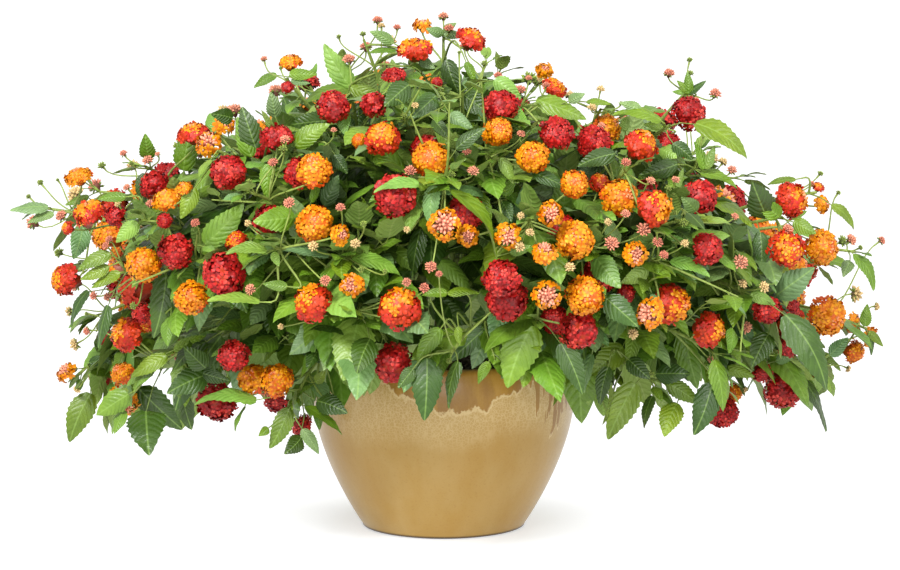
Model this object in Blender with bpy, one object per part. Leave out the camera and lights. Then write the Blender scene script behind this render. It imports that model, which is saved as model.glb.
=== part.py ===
"""Potted lantana: a glazed pot of soil, and a bush of woody canes with leaves, flower heads and buds.

Metres, +Z up. The origin is the centre of the pot's base, and the viewer stands at -Y.
Each cane stands in its own hole in the soil and is one closed body with everything that grows on it.
"""

import math
import random

import bmesh
import bpy
from mathutils import Vector
from mathutils.bvhtree import BVHTree

# Pot
POT_BASE_RADIUS = 0.087
POT_WIDEST_RADIUS = 0.1445
POT_WIDEST_Z = 0.160
POT_RIM_RADIUS = 0.141
POT_RIM_Z = 0.190
POT_WALL = 0.009
POT_FLOOR = 0.012
POT_BELLY = 0.9
POT_ROUNDING = 0.003
RIM_OUTER_DROP = 0.001
RIM_INNER_DROP = 0.002
POT_SIDES = 26
POT_LEVELS = (0.018, 0.042, 0.075, 0.115, 0.160)
SHARP_ANGLE = 40.0

# Soil
SOIL_Z = 0.172
SOIL_LEVELS = (0.042, 0.100, 0.155)
GAP = 0.0003

# Canes: the knee and the fork are the bend over the soil and the place from which the shoots spread.
HOLE_DEPTH = 0.050
PLUMB_OVER_SOIL = 0.006
KNEE_OUT = 0.010
KNEE_UP = 0.036
FORK_PLACE = 0.38
FORK_UP = 0.022
CANE_RADIUS = 0.0055
FORK_RADIUS = 0.0042
CANE_SIDES = 5

# Shoots
SHOOT_RADII = (0.0028, 0.0024, 0.0020, 0.0015)
SHOOT_SIDES = 3
FIRST_SHOOT = 0.97
SHOOT_STEP = 0.06
BACK_SHOOTS = 27
BACK_SHOOT_REACH = 0.93
# Bands of shoots from the lowest to the highest: share of the shoots, shoots a cane, how far out the cane
# stands in the soil, and how much the shoots arch.
BANDS = (
    (0.36, 4.6, 0.112, 0.24),
    (0.30, 4.6, 0.080, 0.14),
    (0.22, 4.3, 0.048, 0.08),
    (0.12, 4.0, 0.020, 0.03),
)

# Bush: half sizes and fullness of its rounded outer surface, and the eye point that the picture positions
# are seen from
MOUND_Z = 0.30
MOUND_HALF_WIDTH = 0.475
MOUND_HALF_DEPTH = 0.43
MOUND_UP = 0.255
MOUND_DOWN = 0.21
MOUND_FULLNESS = 0.55
EYE = Vector((0.007, -3.0, 0.61))
# Points on the surface that the picture doesn't show: how low and how far forward they go, from -1 to 1
LOWEST_SPOT = -0.72
FOREMOST_SPOT = -0.10
SPREAD_OF_LOW_SPOTS = 0.6
SPOTS_FOR_EACH_KEPT = 2.3
# They are drawn in, by steps of their distance from the bush's middle, until they show inside its outline,
# and flower heads by more, so that leaves stand before them at the outline
LEAST_REACH = 0.5
REACH_STEP = 0.02
OUTLINE_MARGIN = 0.05
HEAD_MARGIN = 0.20

# Leaves: sizes, and how far the teeth stand out from the outline and the notches lie in
PETIOLE_RADIUS = 0.0008
PETIOLE_REACH = 0.012
LEAF_RIDGE = 0.0016
LEAF_ASPECT = 1.75
LEAF_ARCH = 0.32
LONGEST_LEAF = 0.085
THREE_TEETH_FROM = 0.083
TWO_TEETH_FROM = 0.042
TEETH_START = 0.02
TEETH_SPAN = 0.80
TOOTH = 1.09
NOTCH = 0.82
NARROWEST_LEAF = 0.42
MOST_LEAN = 1.2
FRONT_LEAF_STEPS = (0.012, 0.020, 0.006, 0.028, 0.036)
LEAST_PETIOLE = 0.002
MOST_PETIOLE = 0.060
BACK_LEAF = (0.062, 0.079)
BACK_LEAF_PLACES = (0.97, 0.80, 0.80, 0.62)
BACK_LEAF_DROOP = 0.35
BACK_LEAF_WIDTH = 0.56
BACK_LEAF_FROM_Y = -0.02

# Flower heads: bands of florets below the top one, as angle from the axis, reach, and turn in floret steps
STALK_RADIUS = 0.0011
SHORTEST_STALK = 0.02
LONGEST_STALK = 0.13
HEAD_BANDS = ((64.0, 1.05, 0.0), (38.0, 0.80, 1.0))
HEAD_DROP = 0.30
LARGE_HEAD = 0.034
BACK_HEADS = 78
BACK_HEAD = (0.030, 0.044)
PUSH_STEP = 0.006
PUSHES = 6

# Buds
BUD_STALK_RADIUS = 0.0009
SHORTEST_BUD_STALK = 0.012
LONGEST_BUD_STALK = 0.09
BUD_DEPTH_STEPS = (0.0, -0.012, 0.012, -0.024, 0.024, 0.036)

# Clearing: the gap kept between canes, and how far a root lies inside its shoot
CLEARANCE = 0.0004
ROOT_DEPTH = 0.0035
NOBODY = -1
TRIES = 40

GREEN, BARK, RED, ORANGE, PINK = range(5)

# The bush's outline in the picture, in centimetres across from the pot's axis and up.
OUTLINE = (
    (-47.4, 33.6), (-41.7, 38.2), (-35.2, 40.4), (-28.7, 43.5), (-21.2, 50.0), (-15.8, 50.6), (-7.6, 54.4),
    (-0.2, 54.8), (5.1, 53.2), (12.8, 49.0), (21.4, 45.8), (26.8, 50.2), (32.2, 40.4), (37.6, 38.2),
    (44.2, 31.8), (48.2, 30.7), (47.9, 18.7), (41.9, 9.9), (27.8, 9.7), (17.0, 8.8), (6.2, 14.9),
    (-2.4, 11.0), (-12.2, 9.9), (-16.5, 7.7), (-32.4, 7.2), (-40.4, 8.9), (-42.7, 16.0), (-43.2, 27.3),
)

# Front shoots: where each tip shows in the picture, in centimetres across from the pot's axis and up.
FRONT_TIPS = (
    (-43.5, 34.8), (-39.5, 17.0), (-35.2, 27.7), (-33.0, 33.5), (-32.3, 39.3),
    (-31.0, 17.6), (-26.8, 29.2), (-24.5, 41.0), (-21.0, 36.5), (-18.3, 30.3), (-17.8, 42.0), (-17.0, 48.8),
    (-15.9, 14.5), (-11.0, 29.5), (-10.1, 48.0), (-9.4, 23.2), (-8.6, 53.0), (-4.2, 44.5),
    (0.0, 54.0), (0.3, 38.3), (0.8, 18.8), (2.0, 47.4), (5.0, 40.5), (8.8, 46.5), (9.3, 33.5),
    (10.2, 22.5), (16.0, 30.2), (17.0, 45.5), (20.0, 39.0), (22.5, 16.0), (23.0, 29.0),
    (24.5, 43.8), (26.0, 33.5), (26.6, 47.8), (27.5, 39.3), (29.6, 18.8), (32.5, 25.6),
    (36.8, 33.8), (36.5, 24.5), (40.5, 36.5), (40.5, 16.8), (44.8, 30.0), (46.3, 21.5),
)

# Front flower heads: centimetres across and up, width in centimetres, colours, and where the head faces
# (f to the viewer, u up, d down, l left, r right; b lies behind its neighbours).
FRONT_HEADS = (
    (-27.2, 43.2, 3.7, "bi", "u"), (-25.5, 42.0, 3.2, "open", "uf"), (-23.6, 43.9, 2.4, "open", "r"),
    (-23.5, 38.8, 4.0, "red", "f"), (-39.7, 38.5, 3.2, "org", "u"), (-38.6, 34.6, 3.8, "bi", "u"),
    (-35.9, 34.0, 2.6, "red", "l"), (-31.5, 37.6, 3.4, "red", "b"), (-30.2, 36.0, 3.4, "org", "u"),
    (-28.2, 37.1, 2.0, "org", "u"), (-41.0, 32.6, 1.6, "bi", "l"), (-30.4, 33.4, 1.8, "red", "f"),
    (-29.3, 30.1, 4.0, "red", "f"), (-32.8, 28.7, 4.0, "org", "f"), (-41.5, 27.0, 3.6, "bi", "l"),
    (-24.2, 27.5, 4.9, "red", "f"), (-27.6, 25.1, 3.9, "org", "fu"), (-34.9, 21.0, 3.9, "bi", "ul"),
    (-33.1, 23.2, 2.4, "red", "b"), (-35.3, 16.7, 2.8, "org", "u"), (-35.4, 15.8, 4.0, "red", "b"),
    (-35.1, 13.4, 4.2, "open", "f"), (-41.3, 16.9, 2.6, "open", "u"), (-23.1, 18.3, 3.6, "red", "f"),
    (-25.0, 13.3, 4.6, "red", "f"), (-21.0, 16.2, 3.6, "org", "u"), (-18.3, 16.0, 3.8, "org", "u"),
    (-18.4, 13.3, 2.8, "red", "b"), (-15.4, 10.8, 2.6, "red", "r"), (-5.6, 17.5, 4.6, "red", "f"),
    (-14.6, 24.6, 4.5, "bi", "ul"), (-4.9, 24.2, 4.9, "bi", "u"), (-10.1, 26.3, 2.8, "open", "f"),
    (-22.6, 31.3, 2.6, "bi", "b"), (-14.0, 33.2, 4.2, "org", "f"), (-11.2, 31.9, 2.4, "open", "r"),
    (-19.0, 33.6, 3.6, "red", "b"), (-16.0, 38.8, 3.6, "red", "l"), (-14.1, 39.2, 4.0, "org", "uf"),
    (-18.2, 42.9, 3.8, "red", "u"), (-16.6, 50.8, 2.8, "org", "u"), (-16.9, 47.9, 1.5, "red", "f"),
    (-11.9, 46.0, 3.7, "red", "f"), (-7.6, 46.2, 3.0, "red", "f"), (-6.6, 42.6, 4.0, "bi", "uf"),
    (-9.2, 42.2, 1.8, "org", "f"), (-5.3, 49.5, 2.8, "red", "u"), (-3.1, 52.3, 4.0, "bi", "u"),
    (-2.3, 54.6, 2.2, "open", "u"), (3.1, 53.4, 3.6, "bi", "ur"), (-0.7, 48.5, 1.2, "red", "f"),
    (10.9, 49.8, 1.8, "open", "f"), (12.2, 48.0, 3.0, "bi", "ur"), (6.2, 46.0, 4.0, "red", "f"),
    (6.0, 43.2, 3.3, "org", "f"), (12.2, 43.1, 3.8, "red", "fu"), (16.3, 42.1, 3.8, "red", "f"),
    (17.9, 43.6, 3.2, "org", "rb"), (-2.4, 41.7, 3.2, "red", "ulb"), (-1.4, 40.2, 4.2, "org", "f"),
    (9.6, 40.4, 3.7, "org", "f"), (21.5, 41.9, 3.9, "bi", "ur"), (24.5, 42.4, 2.4, "red", "b"),
    (26.6, 45.4, 3.9, "red", "f"), (14.3, 37.5, 3.2, "org", "f"), (17.1, 37.7, 2.4, "bi", "b"),
    (19.4, 36.0, 4.2, "org", "fr"), (23.2, 34.9, 4.2, "bi", "r"), (28.4, 36.2, 3.9, "red", "r"),
    (-5.3, 36.4, 4.8, "red", "f"), (2.5, 34.5, 4.2, "red", "f"), (0.1, 33.1, 4.2, "open", "f"),
    (2.6, 31.7, 2.4, "open", "f"), (7.0, 31.7, 3.2, "open", "f"), (11.7, 34.2, 3.0, "open", "f"),
    (14.3, 31.4, 4.4, "org", "f"), (12.9, 32.7, 3.4, "red", "b"), (11.0, 30.1, 3.0, "open", "u"),
    (6.2, 27.0, 4.2, "red", "f"), (6.9, 24.6, 4.8, "red", "f"), (11.3, 25.2, 3.6, "open", "f"),
    (15.6, 25.1, 4.4, "org", "f"), (17.0, 27.4, 4.0, "red", "b"), (14.9, 21.3, 4.4, "red", "f"),
    (12.3, 22.4, 3.2, "red", "b"), (20.9, 29.7, 2.9, "open", "f"), (25.1, 24.3, 4.6, "bi", "r"),
    (22.4, 23.2, 3.8, "open", "l"), (29.0, 30.3, 3.8, "red", "r"), (29.3, 21.4, 4.0, "bi", "r"),
    (20.0, 25.4, 2.2, "red", "b"), (35.4, 23.5, 3.2, "red", "f"), (38.0, 35.8, 4.1, "bi", "r"),
    (40.7, 37.2, 1.6, "bi", "u"), (41.2, 35.2, 1.9, "open", "r"), (37.6, 30.3, 4.2, "bi", "f"),
    (41.4, 30.5, 4.0, "org", "f"), (42.2, 22.8, 4.4, "org", "f"), (44.8, 22.2, 2.4, "open", "r"),
    (45.0, 18.9, 2.7, "org", "r"), (37.3, 14.5, 4.3, "red", "f"), (38.1, 19.7, 3.0, "red", "b"),
    (40.7, 16.0, 2.4, "org", "b"), (35.0, 16.6, 2.6, "red", "b"), (38.2, 24.0, 1.8, "red", "b"),
    (30.9, 12.0, 3.6, "red", "dr"), (31.9, 14.4, 2.4, "org", "r"),
)

# Front bud heads: centimetres across and up, and width in centimetres.
FRONT_BUDS = (
    (-34.7, 40.8, 1.0), (-32.1, 40.1, 1.4), (-43.8, 37.6, 0.9), (-45.1, 36.1, 0.7), (-41.6, 34.0, 1.5),
    (-36.4, 31.4, 1.1), (-38.2, 25.2, 1.1), (-39.0, 21.3, 1.1), (-19.4, 51.0, 0.9), (-10.2, 51.0, 1.6),
    (-7.1, 55.2, 1.3), (-17.2, 42.3, 1.3), (0.0, 55.6, 1.3), (8.3, 47.7, 1.5), (3.2, 38.9, 1.5),
    (-3.6, 38.9, 1.5), (24.4, 49.5, 1.4), (29.4, 47.3, 1.5), (26.6, 50.9, 0.8), (31.3, 39.0, 1.3),
    (-16.8, 35.4, 1.5), (-12.9, 26.9, 1.4), (21.8, 32.5, 1.9), (18.3, 31.0, 1.9), (32.4, 28.9, 2.0),
    (33.1, 21.7, 1.6), (37.4, 37.2, 1.4), (44.4, 31.4, 1.5), (47.7, 31.3, 1.1), (47.3, 24.0, 1.0),
    (-19.6, 14.6, 1.6), (-12.2, 12.8, 1.4),
)

# Front leaves: where the blade starts and where its tip is, in centimetres across and up, and the width
# that shows.
FRONT_LEAVES = (
    (-42.9, 34.9, -47.1, 34.5, 1.3), (-38.5, 36.1, -41.1, 35.1, 0.9), (-32.4, 38.6, -32.7, 35.1, 1.8),
    (-28.2, 38.8, -27.2, 43.8, 2.6), (-27.0, 37.0, -28.6, 33.6, 1.9), (-26.6, 29.0, -30.2, 32.9, 1.6),
    (-26.0, 30.8, -21.7, 35.3, 3.0), (-39.2, 32.8, -40.3, 29.2, 2.2), (-36.2, 29.8, -39.8, 28.0, 1.6),
    (-30.2, 27.6, -31.7, 20.5, 3.0), (-38.6, 14.5, -41.0, 9.0, 2.9), (-33.4, 15.0, -28.6, 10.4, 3.2),
    (-32.6, 12.5, -32.3, 7.5, 4.3), (-25.9, 16.5, -30.3, 14.4, 3.0), (-30.2, 18.6, -34.2, 16.2, 1.8),
    (-26.0, 17.2, -28.4, 19.6, 2.4), (-36.6, 24.2, -37.7, 19.4, 1.3), (-38.7, 25.8, -40.6, 21.7, 1.1),
    (-18.0, 49.3, -20.5, 47.8, 1.0), (-18.2, 44.6, -18.7, 47.4, 1.7), (-10.0, 47.8, -12.9, 52.6, 2.4),
    (-10.0, 47.8, -15.4, 45.9, 1.6), (-9.3, 46.2, -9.2, 42.7, 2.0), (-20.3, 41.2, -21.8, 45.8, 2.6),
    (-16.2, 41.5, -12.3, 43.9, 2.2), (-3.7, 48.2, -6.4, 45.8, 2.6), (0.3, 50.9, 1.9, 46.8, 2.0),
    (2.0, 47.2, 5.3, 44.8, 2.4), (5.5, 48.8, 8.4, 46.6, 2.0), (-0.8, 47.0, -3.5, 44.5, 2.2),
    (1.3, 41.2, 4.6, 43.5, 1.6), (10.0, 46.6, 15.5, 44.4, 2.2), (23.6, 44.3, 18.3, 44.9, 1.4),
    (27.2, 44.0, 32.9, 40.1, 2.4), (27.8, 38.6, 31.9, 36.8, 1.2), (25.4, 39.6, 21.2, 38.4, 2.0),
    (18.6, 40.7, 14.5, 39.3, 2.0), (-16.2, 33.8, -20.7, 33.3, 2.8), (-12.0, 29.2, -19.6, 27.7, 2.0),
    (-10.0, 29.3, -4.7, 27.4, 1.6), (-22.2, 22.8, -26.3, 23.5, 1.3), (-13.0, 35.0, -11.4, 38.4, 2.0),
    (-19.0, 39.6, -19.2, 35.8, 1.8), (-2.6, 37.4, -7.6, 36.4, 1.4), (-1.0, 37.3, -1.4, 32.7, 1.8),
    (0.6, 36.7, 5.7, 29.3, 1.6), (-0.6, 29.2, 3.1, 25.4, 2.0), (-1.5, 24.3, 3.0, 22.2, 2.8),
    (6.6, 28.9, 11.8, 27.0, 1.4), (13.0, 26.6, 15.6, 22.7, 2.2), (14.0, 36.2, 9.3, 36.6, 1.8),
    (-2.5, 32.5, -3.4, 27.2, 2.0), (16.6, 29.4, 19.3, 26.0, 2.8), (17.6, 25.0, 21.2, 21.8, 2.8),
    (24.6, 29.0, 29.0, 27.2, 1.4), (32.0, 26.2, 26.9, 25.0, 1.8), (34.4, 32.2, 34.6, 28.2, 1.9),
    (35.2, 33.6, 33.5, 37.6, 3.2), (36.2, 25.2, 40.4, 28.3, 3.2), (42.1, 35.2, 44.6, 32.4, 1.1),
    (44.6, 29.8, 46.8, 25.7, 1.2), (37.2, 23.2, 41.9, 14.6, 3.6), (39.0, 16.4, 41.9, 10.1, 1.3),
    (46.0, 21.8, 46.2, 24.3, 1.3), (46.4, 21.3, 48.0, 19.6, 0.9), (42.2, 18.6, 44.2, 20.6, 1.6),
    (35.5, 21.0, 33.7, 17.3, 2.6), (-20.4, 13.7, -27.3, 13.1, 1.6), (-9.3, 22.6, -11.0, 15.8, 4.6),
    (-16.9, 12.8, -19.1, 8.3, 2.2), (-13.9, 13.6, -10.5, 12.2, 2.4), (-15.6, 9.6, -17.5, 7.7, 2.0),
    (-8.0, 20.5, -9.5, 16.6, 3.0), (-1.8, 18.4, -2.1, 11.4, 3.4), (1.6, 18.0, 0.6, 12.7, 1.6),
    (4.8, 21.9, 0.7, 18.0, 2.6), (9.7, 22.0, 7.0, 15.0, 4.2), (12.8, 20.0, 15.2, 14.3, 2.6),
    (19.6, 19.6, 16.0, 16.4, 2.8), (21.0, 15.6, 18.0, 9.3, 3.2), (25.6, 13.4, 24.2, 9.6, 2.6),
    (23.2, 16.6, 27.0, 16.6, 2.4), (26.2, 21.6, 27.8, 14.9, 2.8), (29.4, 15.6, 27.4, 9.8, 3.0),
    (29.6, 18.2, 30.6, 12.4, 2.0), (30.8, 17.2, 34.0, 16.2, 1.4),
)

TURN = math.pi * (3.0 - math.sqrt(5.0))
UP = Vector((0.0, 0.0, 1.0))
FACING = {
    "f": Vector((0.0, -1.0, 0.1)),
    "u": Vector((0.0, -0.2, 1.0)),
    "d": Vector((0.0, -0.4, -0.6)),
    "l": Vector((-1.0, -0.3, 0.2)),
    "r": Vector((1.0, -0.3, 0.2)),
    "b": Vector((0.0, 0.0, 0.2)),
}
KINDS = ("red", "bi", "red", "org", "open")
COLOURS = {"red": (RED, RED), "bi": (ORANGE, RED), "org": (ORANGE, ORANGE), "open": (PINK, ORANGE)}


def wobble(number, salt):
    """A repeatable random number from -1 to 1 for one item."""
    return random.Random(number * 7919 + salt).uniform(-1.0, 1.0)


def wobble_vector(number, salt):
    return Vector([wobble(number, salt + axis) for axis in range(3)])


def between(low_high, number, salt):
    low, high = low_high
    return low + (high - low) * (0.5 + 0.5 * wobble(number, salt))


# Places in the bush

def nearness(depth):
    """How large a thing at this depth is beside one of the same picture size at the pot's axis."""
    return (depth - EYE.y) / -EYE.y


def on_view(across, up, depth):
    """The point at this depth (y) that shows at these centimetres across and up."""
    flat = Vector((across * 0.01, 0.0, up * 0.01))
    return EYE + (flat - EYE) * nearness(depth)


def mound_depth(across, up):
    """The depth of the bush's front surface where it shows at these centimetres across and up."""
    rise = up * 0.01 - MOUND_Z
    half = MOUND_UP if rise > 0 else MOUND_DOWN
    out = (across * 0.01 / MOUND_HALF_WIDTH) ** 2 + (rise / half) ** 2
    return -MOUND_HALF_DEPTH * max(0.0, 1.0 - out) ** MOUND_FULLNESS


def outward(point):
    """The direction in which the bush's surface faces near this point."""
    rise = point.z - MOUND_Z
    half = MOUND_UP if rise > 0 else MOUND_DOWN
    return Vector(
        (point.x / MOUND_HALF_WIDTH**2, point.y / MOUND_HALF_DEPTH**2, rise / half**2)
    ).normalized()


def back_spots(count, turn, margin):
    """Evenly spread points on the bush's surface, kept where the picture doesn't show it."""
    spots = []
    total = round(count * SPOTS_FOR_EACH_KEPT)
    for i in range(total):
        height = 1.0 - 2.0 * (i + 0.5) / total
        around = i * TURN + turn
        reach = math.sqrt(1.0 - height * height)
        if height < LOWEST_SPOT or reach * math.sin(around) < FOREMOST_SPOT:
            continue
        if height < 0:
            reach **= SPREAD_OF_LOW_SPOTS
        across = reach * math.cos(around) * MOUND_HALF_WIDTH
        depth = reach * math.sin(around) * MOUND_HALF_DEPTH
        spot = Vector((across, depth, MOUND_Z + height * (MOUND_UP if height > 0 else MOUND_DOWN)))
        spots.append(drawn_in(spot, margin))
    return spots


def shows_inside(point):
    """Whether the point shows inside the bush's outline in the picture."""
    flat = (EYE + (point - EYE) / nearness(point.y)) * 100
    crossings = 0
    for k, (x, z) in enumerate(OUTLINE):
        next_x, next_z = OUTLINE[(k + 1) % len(OUTLINE)]
        if (z > flat.z) != (next_z > flat.z) and flat.x < (next_x - x) * (flat.z - z) / (next_z - z) + x:
            crossings += 1
    return crossings % 2 == 1


def drawn_in(spot, margin):
    """The spot, brought towards the bush's middle until what stands there shows inside the outline."""
    middle = UP * MOUND_Z
    share = 1.0
    while share > LEAST_REACH and not shows_inside(middle + (spot - middle) * (share + margin)):
        share -= REACH_STEP
    return middle + (spot - middle) * share


# Meshes, as points, faces and one colour number a face

def ring(centre, along, radius, sides, turn=0.0, towards=None):
    """Points round a centre, square to a direction. The first lies towards another one, where it is given."""
    if towards:
        side = along.cross(towards).cross(along).normalized()
    else:
        other = Vector((0.0, 1.0, 0.0)) if abs(along.z) >= 0.9 else Vector((0.13, 0.21, 0.97))
        side = along.cross(other).normalized()
    up = along.cross(side).normalized()
    angles = [2.0 * math.pi * k / sides + turn for k in range(sides)]
    return [centre + radius * (math.cos(a) * side + math.sin(a) * up) for a in angles]


def zipped(first, second):
    """Faces between two rings of point numbers: quads where the counts match, or else triangles."""
    count = len(first)
    if count == len(second):
        pairs = [(k, (k + 1) % count) for k in range(count)]
        return [(first[a], first[b], second[b], second[a]) for a, b in pairs]
    faces = []
    i, j = 0, 0
    steps_i = len(first) if len(first) > 1 else 0
    steps_j = len(second) if len(second) > 1 else 0
    while i < steps_i or j < steps_j:
        here, there = first[i % len(first)], second[j % len(second)]
        if j == steps_j or (i < steps_i and (i + 0.5) * steps_j <= (j + 0.5) * steps_i):
            faces.append((here, first[(i + 1) % len(first)], there))
            i += 1
        else:
            faces.append((here, second[(j + 1) % len(second)], there))
            j += 1
    return faces


def loft(rings, colours):
    """A closed shape through rings of points. A colour is for the faces from one ring to the next."""
    points, faces, tints, numbers = [], [], [], []
    for one in rings:
        numbers.append(list(range(len(points), len(points) + len(one))))
        points += one
    for k in range(len(rings) - 1):
        band = zipped(numbers[k], numbers[k + 1])
        faces += band
        tints += [colours[min(k, len(colours) - 1)]] * len(band)
    for end, tint in ((numbers[0][::-1], colours[0]), (numbers[-1], colours[-1])):
        if len(end) > 2:
            faces.append(tuple(end))
            tints.append(tint)
    if volume_of(points, faces) < 0:
        faces = [face[::-1] for face in faces]
    return points, faces, tints


def volume_of(points, faces):
    """Six times the volume, below 0 where the faces point inwards."""
    centre = sum(points, Vector()) / len(points)
    total = 0.0
    for face in faces:
        first = points[face[0]] - centre
        for k in range(1, len(face) - 1):
            total += first.dot((points[face[k]] - centre).cross(points[face[k + 1]] - centre))
    return total


def tube(points, radii, sides, colour):
    rings = []
    for k, point in enumerate(points):
        before, after = points[max(k - 1, 0)], points[min(k + 1, len(points) - 1)]
        rings.append(ring(point, (after - before).normalized(), radii[k], sides))
    return loft(rings, (colour,))


def leaf_outline(place):
    """Half width of a leaf at this part of its length, where its widest (at 0.36) is 1."""
    return (1.0 - place) ** 0.8 * place**0.45 / 0.4417


def leaf_sections(teeth):
    """Places along the blade and half widths there: teeth stand out, and the notches between lie in."""
    sections = []
    for k in range(2 * teeth - 1):
        place = TEETH_START + TEETH_SPAN * (k + 1) / (2 * teeth)
        sections.append((place, leaf_outline(place) * (TOOTH if k % 2 == 0 else NOTCH)))
    return sections


def leaf(root, base, tip, normal, width, grow=0.0):
    """A leaf on its stalk: flat below, with a low ridge on top, toothed edges and an arched length."""
    along = tip - base
    length = along.length
    teeth = 3 if length > THREE_TEETH_FROM else 2 if length > TWO_TEETH_FROM else 1
    side = along.cross(normal).normalized()
    normal = side.cross(along).normalized()
    stalk = (base - root).normalized()
    rings = [ring(point, stalk, PETIOLE_RADIUS + grow, 3) for point in (root, base)]
    for place, wide in leaf_sections(teeth):
        middle = base + along * place + normal * length * LEAF_ARCH * place * (1.0 - place)
        half = side * (width * 0.5 * wide + grow)
        ridge = normal * (LEAF_RIDGE * (1.0 - 0.5 * place) + grow)
        rings.append([middle + half - normal * grow, middle - half - normal * grow, middle + ridge])
    rings.append([tip + along.normalized() * grow])
    # Each ring starts on the same side, so that the skin between them isn't twisted.
    for k in (1, 0):
        rings[k] = matched(rings[k], rings[k + 1])
    return loft(rings, (GREEN,))


def matched(points, other):
    """The ring, started at the point that brings all its points nearest to the other ring's."""
    middle, other_middle = sum(points, Vector()) / len(points), sum(other, Vector()) / len(other)

    def apart(first):
        pairs = zip(points[first:] + points[:first], other)
        return sum(((a - middle).normalized() - (b - other_middle).normalized()).length for a, b in pairs)

    best = min(range(len(points)), key=apart)
    return points[best:] + points[:best]


def head(root, centre, axis, across, colours, grow=0.0):
    """A domed flower head of florets on its stalk: one floret on top and rings of them round it."""
    florets = 5 if across > LARGE_HEAD else 4
    radius = across * 0.5 + grow
    low = centre - axis * radius * HEAD_DROP
    neck = low - axis * radius * HEAD_DROP
    top, rim = colours
    stalk = (neck - root).normalized()
    rings = [ring(point, stalk, STALK_RADIUS + grow, 3) for point in (root, neck)]
    # The head's rings start where the stalk's do, so that the skin between them isn't twisted.
    first = rings[1][0] - neck
    for angle, reach, steps in HEAD_BANDS:
        polar = math.radians(angle)
        middle = low + axis * radius * reach * math.cos(polar)
        wide = radius * reach * math.sin(polar)
        rings.append(ring(middle, axis, wide, florets, steps * math.pi / florets, first))
    rings.append([low + axis * radius])
    return loft(rings, (GREEN, rim, rim, top))


def bud(root, centre, axis, across, colour, grow=0.0):
    radius = across * 0.5 + grow
    neck = centre - axis * radius * 0.9
    stalk = (neck - root).normalized()
    rings = [ring(point, stalk, BUD_STALK_RADIUS + grow, 3) for point in (root, neck)]
    rings.append(ring(centre + axis * radius * 0.25, axis, radius, 4, towards=rings[1][0] - neck))
    rings.append([centre + axis * radius])
    return loft(rings, (GREEN, GREEN, colour))


# Keeping the canes clear of each other

def crossing_tree(shape):
    points, faces, _ = shape
    low = [min(p[k] for p in points) for k in range(3)]
    high = [max(p[k] for p in points) for k in range(3)]
    return low, high, BVHTree.FromPolygons(points, faces)


def crosses(shape, owner, taken):
    """Whether the shape meets one that is there already, leaving out those of one owner."""
    low, high, tree = crossing_tree(shape)
    for other, other_low, other_high, other_tree in taken:
        apart = any(low[k] > other_high[k] or high[k] < other_low[k] for k in range(3))
        if other != owner and not apart and tree.overlap(other_tree):
            return True
    return False


def take(shape, owner, taken):
    taken.append((owner, *crossing_tree(shape)))


# Pot and soil

def pot_radius(z):
    if z > POT_WIDEST_Z:
        drop = (z - POT_WIDEST_Z) / (POT_RIM_Z - POT_WIDEST_Z)
        return POT_WIDEST_RADIUS - (POT_WIDEST_RADIUS - POT_RIM_RADIUS) * drop * drop
    rise = math.sin(math.pi / 2 * z / POT_WIDEST_Z) ** POT_BELLY
    return POT_BASE_RADIUS + (POT_WIDEST_RADIUS - POT_BASE_RADIUS) * rise


def turned(profile):
    """A closed round shape through (radius, height) pairs."""
    return loft([ring(UP * z, UP, radius, POT_SIDES) for radius, z in profile], (0,))


def pot_shape():
    profile = [(POT_BASE_RADIUS - POT_ROUNDING, 0.0), (pot_radius(POT_ROUNDING), POT_ROUNDING)]
    profile += [(pot_radius(z), z) for z in POT_LEVELS]
    profile.append((POT_RIM_RADIUS - RIM_OUTER_DROP, POT_RIM_Z - RIM_OUTER_DROP))
    profile.append((POT_RIM_RADIUS - POT_WALL * 0.5, POT_RIM_Z))
    profile.append((POT_RIM_RADIUS - POT_WALL, POT_RIM_Z - RIM_INNER_DROP))
    profile += [(pot_radius(z) - POT_WALL, z) for z in SOIL_LEVELS[::-1]]
    profile.append((pot_radius(POT_FLOOR) - POT_WALL, POT_FLOOR))
    return turned(profile)


def soil_shape():
    # The gap is measured square to the flats of a many-sided wall, which leans, so it is widened.
    clear = GAP / math.cos(math.pi / POT_SIDES) * 1.5
    profile = [(pot_radius(POT_FLOOR) - POT_WALL - clear, POT_FLOOR + GAP)]
    profile += [(pot_radius(z) - POT_WALL - clear, z) for z in SOIL_LEVELS]
    profile.append((POT_RIM_RADIUS - POT_WALL - clear * 1.5, SOIL_Z))
    return turned(profile)


# Canes and shoots

def azimuth(point):
    return math.atan2(point.y, point.x)


def steepness(point):
    return math.atan2(point.z - SOIL_Z, math.hypot(point.x, point.y))


def shoot_tips():
    tips = []
    for i, (x, z) in enumerate(FRONT_TIPS):
        tips.append(on_view(x, z, mound_depth(x, z) * 0.94 + 0.03 * wobble(i, 1)))
    middle = UP * MOUND_Z
    for spot in back_spots(BACK_SHOOTS, 0.4, OUTLINE_MARGIN):
        tips.append(middle + (spot - middle) * BACK_SHOOT_REACH)
    return tips


def cane_groups(tips):
    """(tips of one cane, band) pairs: neighbours round the bush, in bands from the lowest to the highest."""
    order = sorted(range(len(tips)), key=lambda k: steepness(tips[k]))
    groups = []
    start = 0
    for number, (share, per_cane, _, _) in enumerate(BANDS):
        last = number == len(BANDS) - 1
        end = len(order) if last else start + round(share * len(order))
        band = sorted(order[start:end], key=lambda k: azimuth(tips[k]))
        start = end
        canes = max(1, round(len(band) / per_cane))
        for k in range(canes):
            groups.append((band[k * len(band) // canes : (k + 1) * len(band) // canes], number))
    return groups


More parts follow.
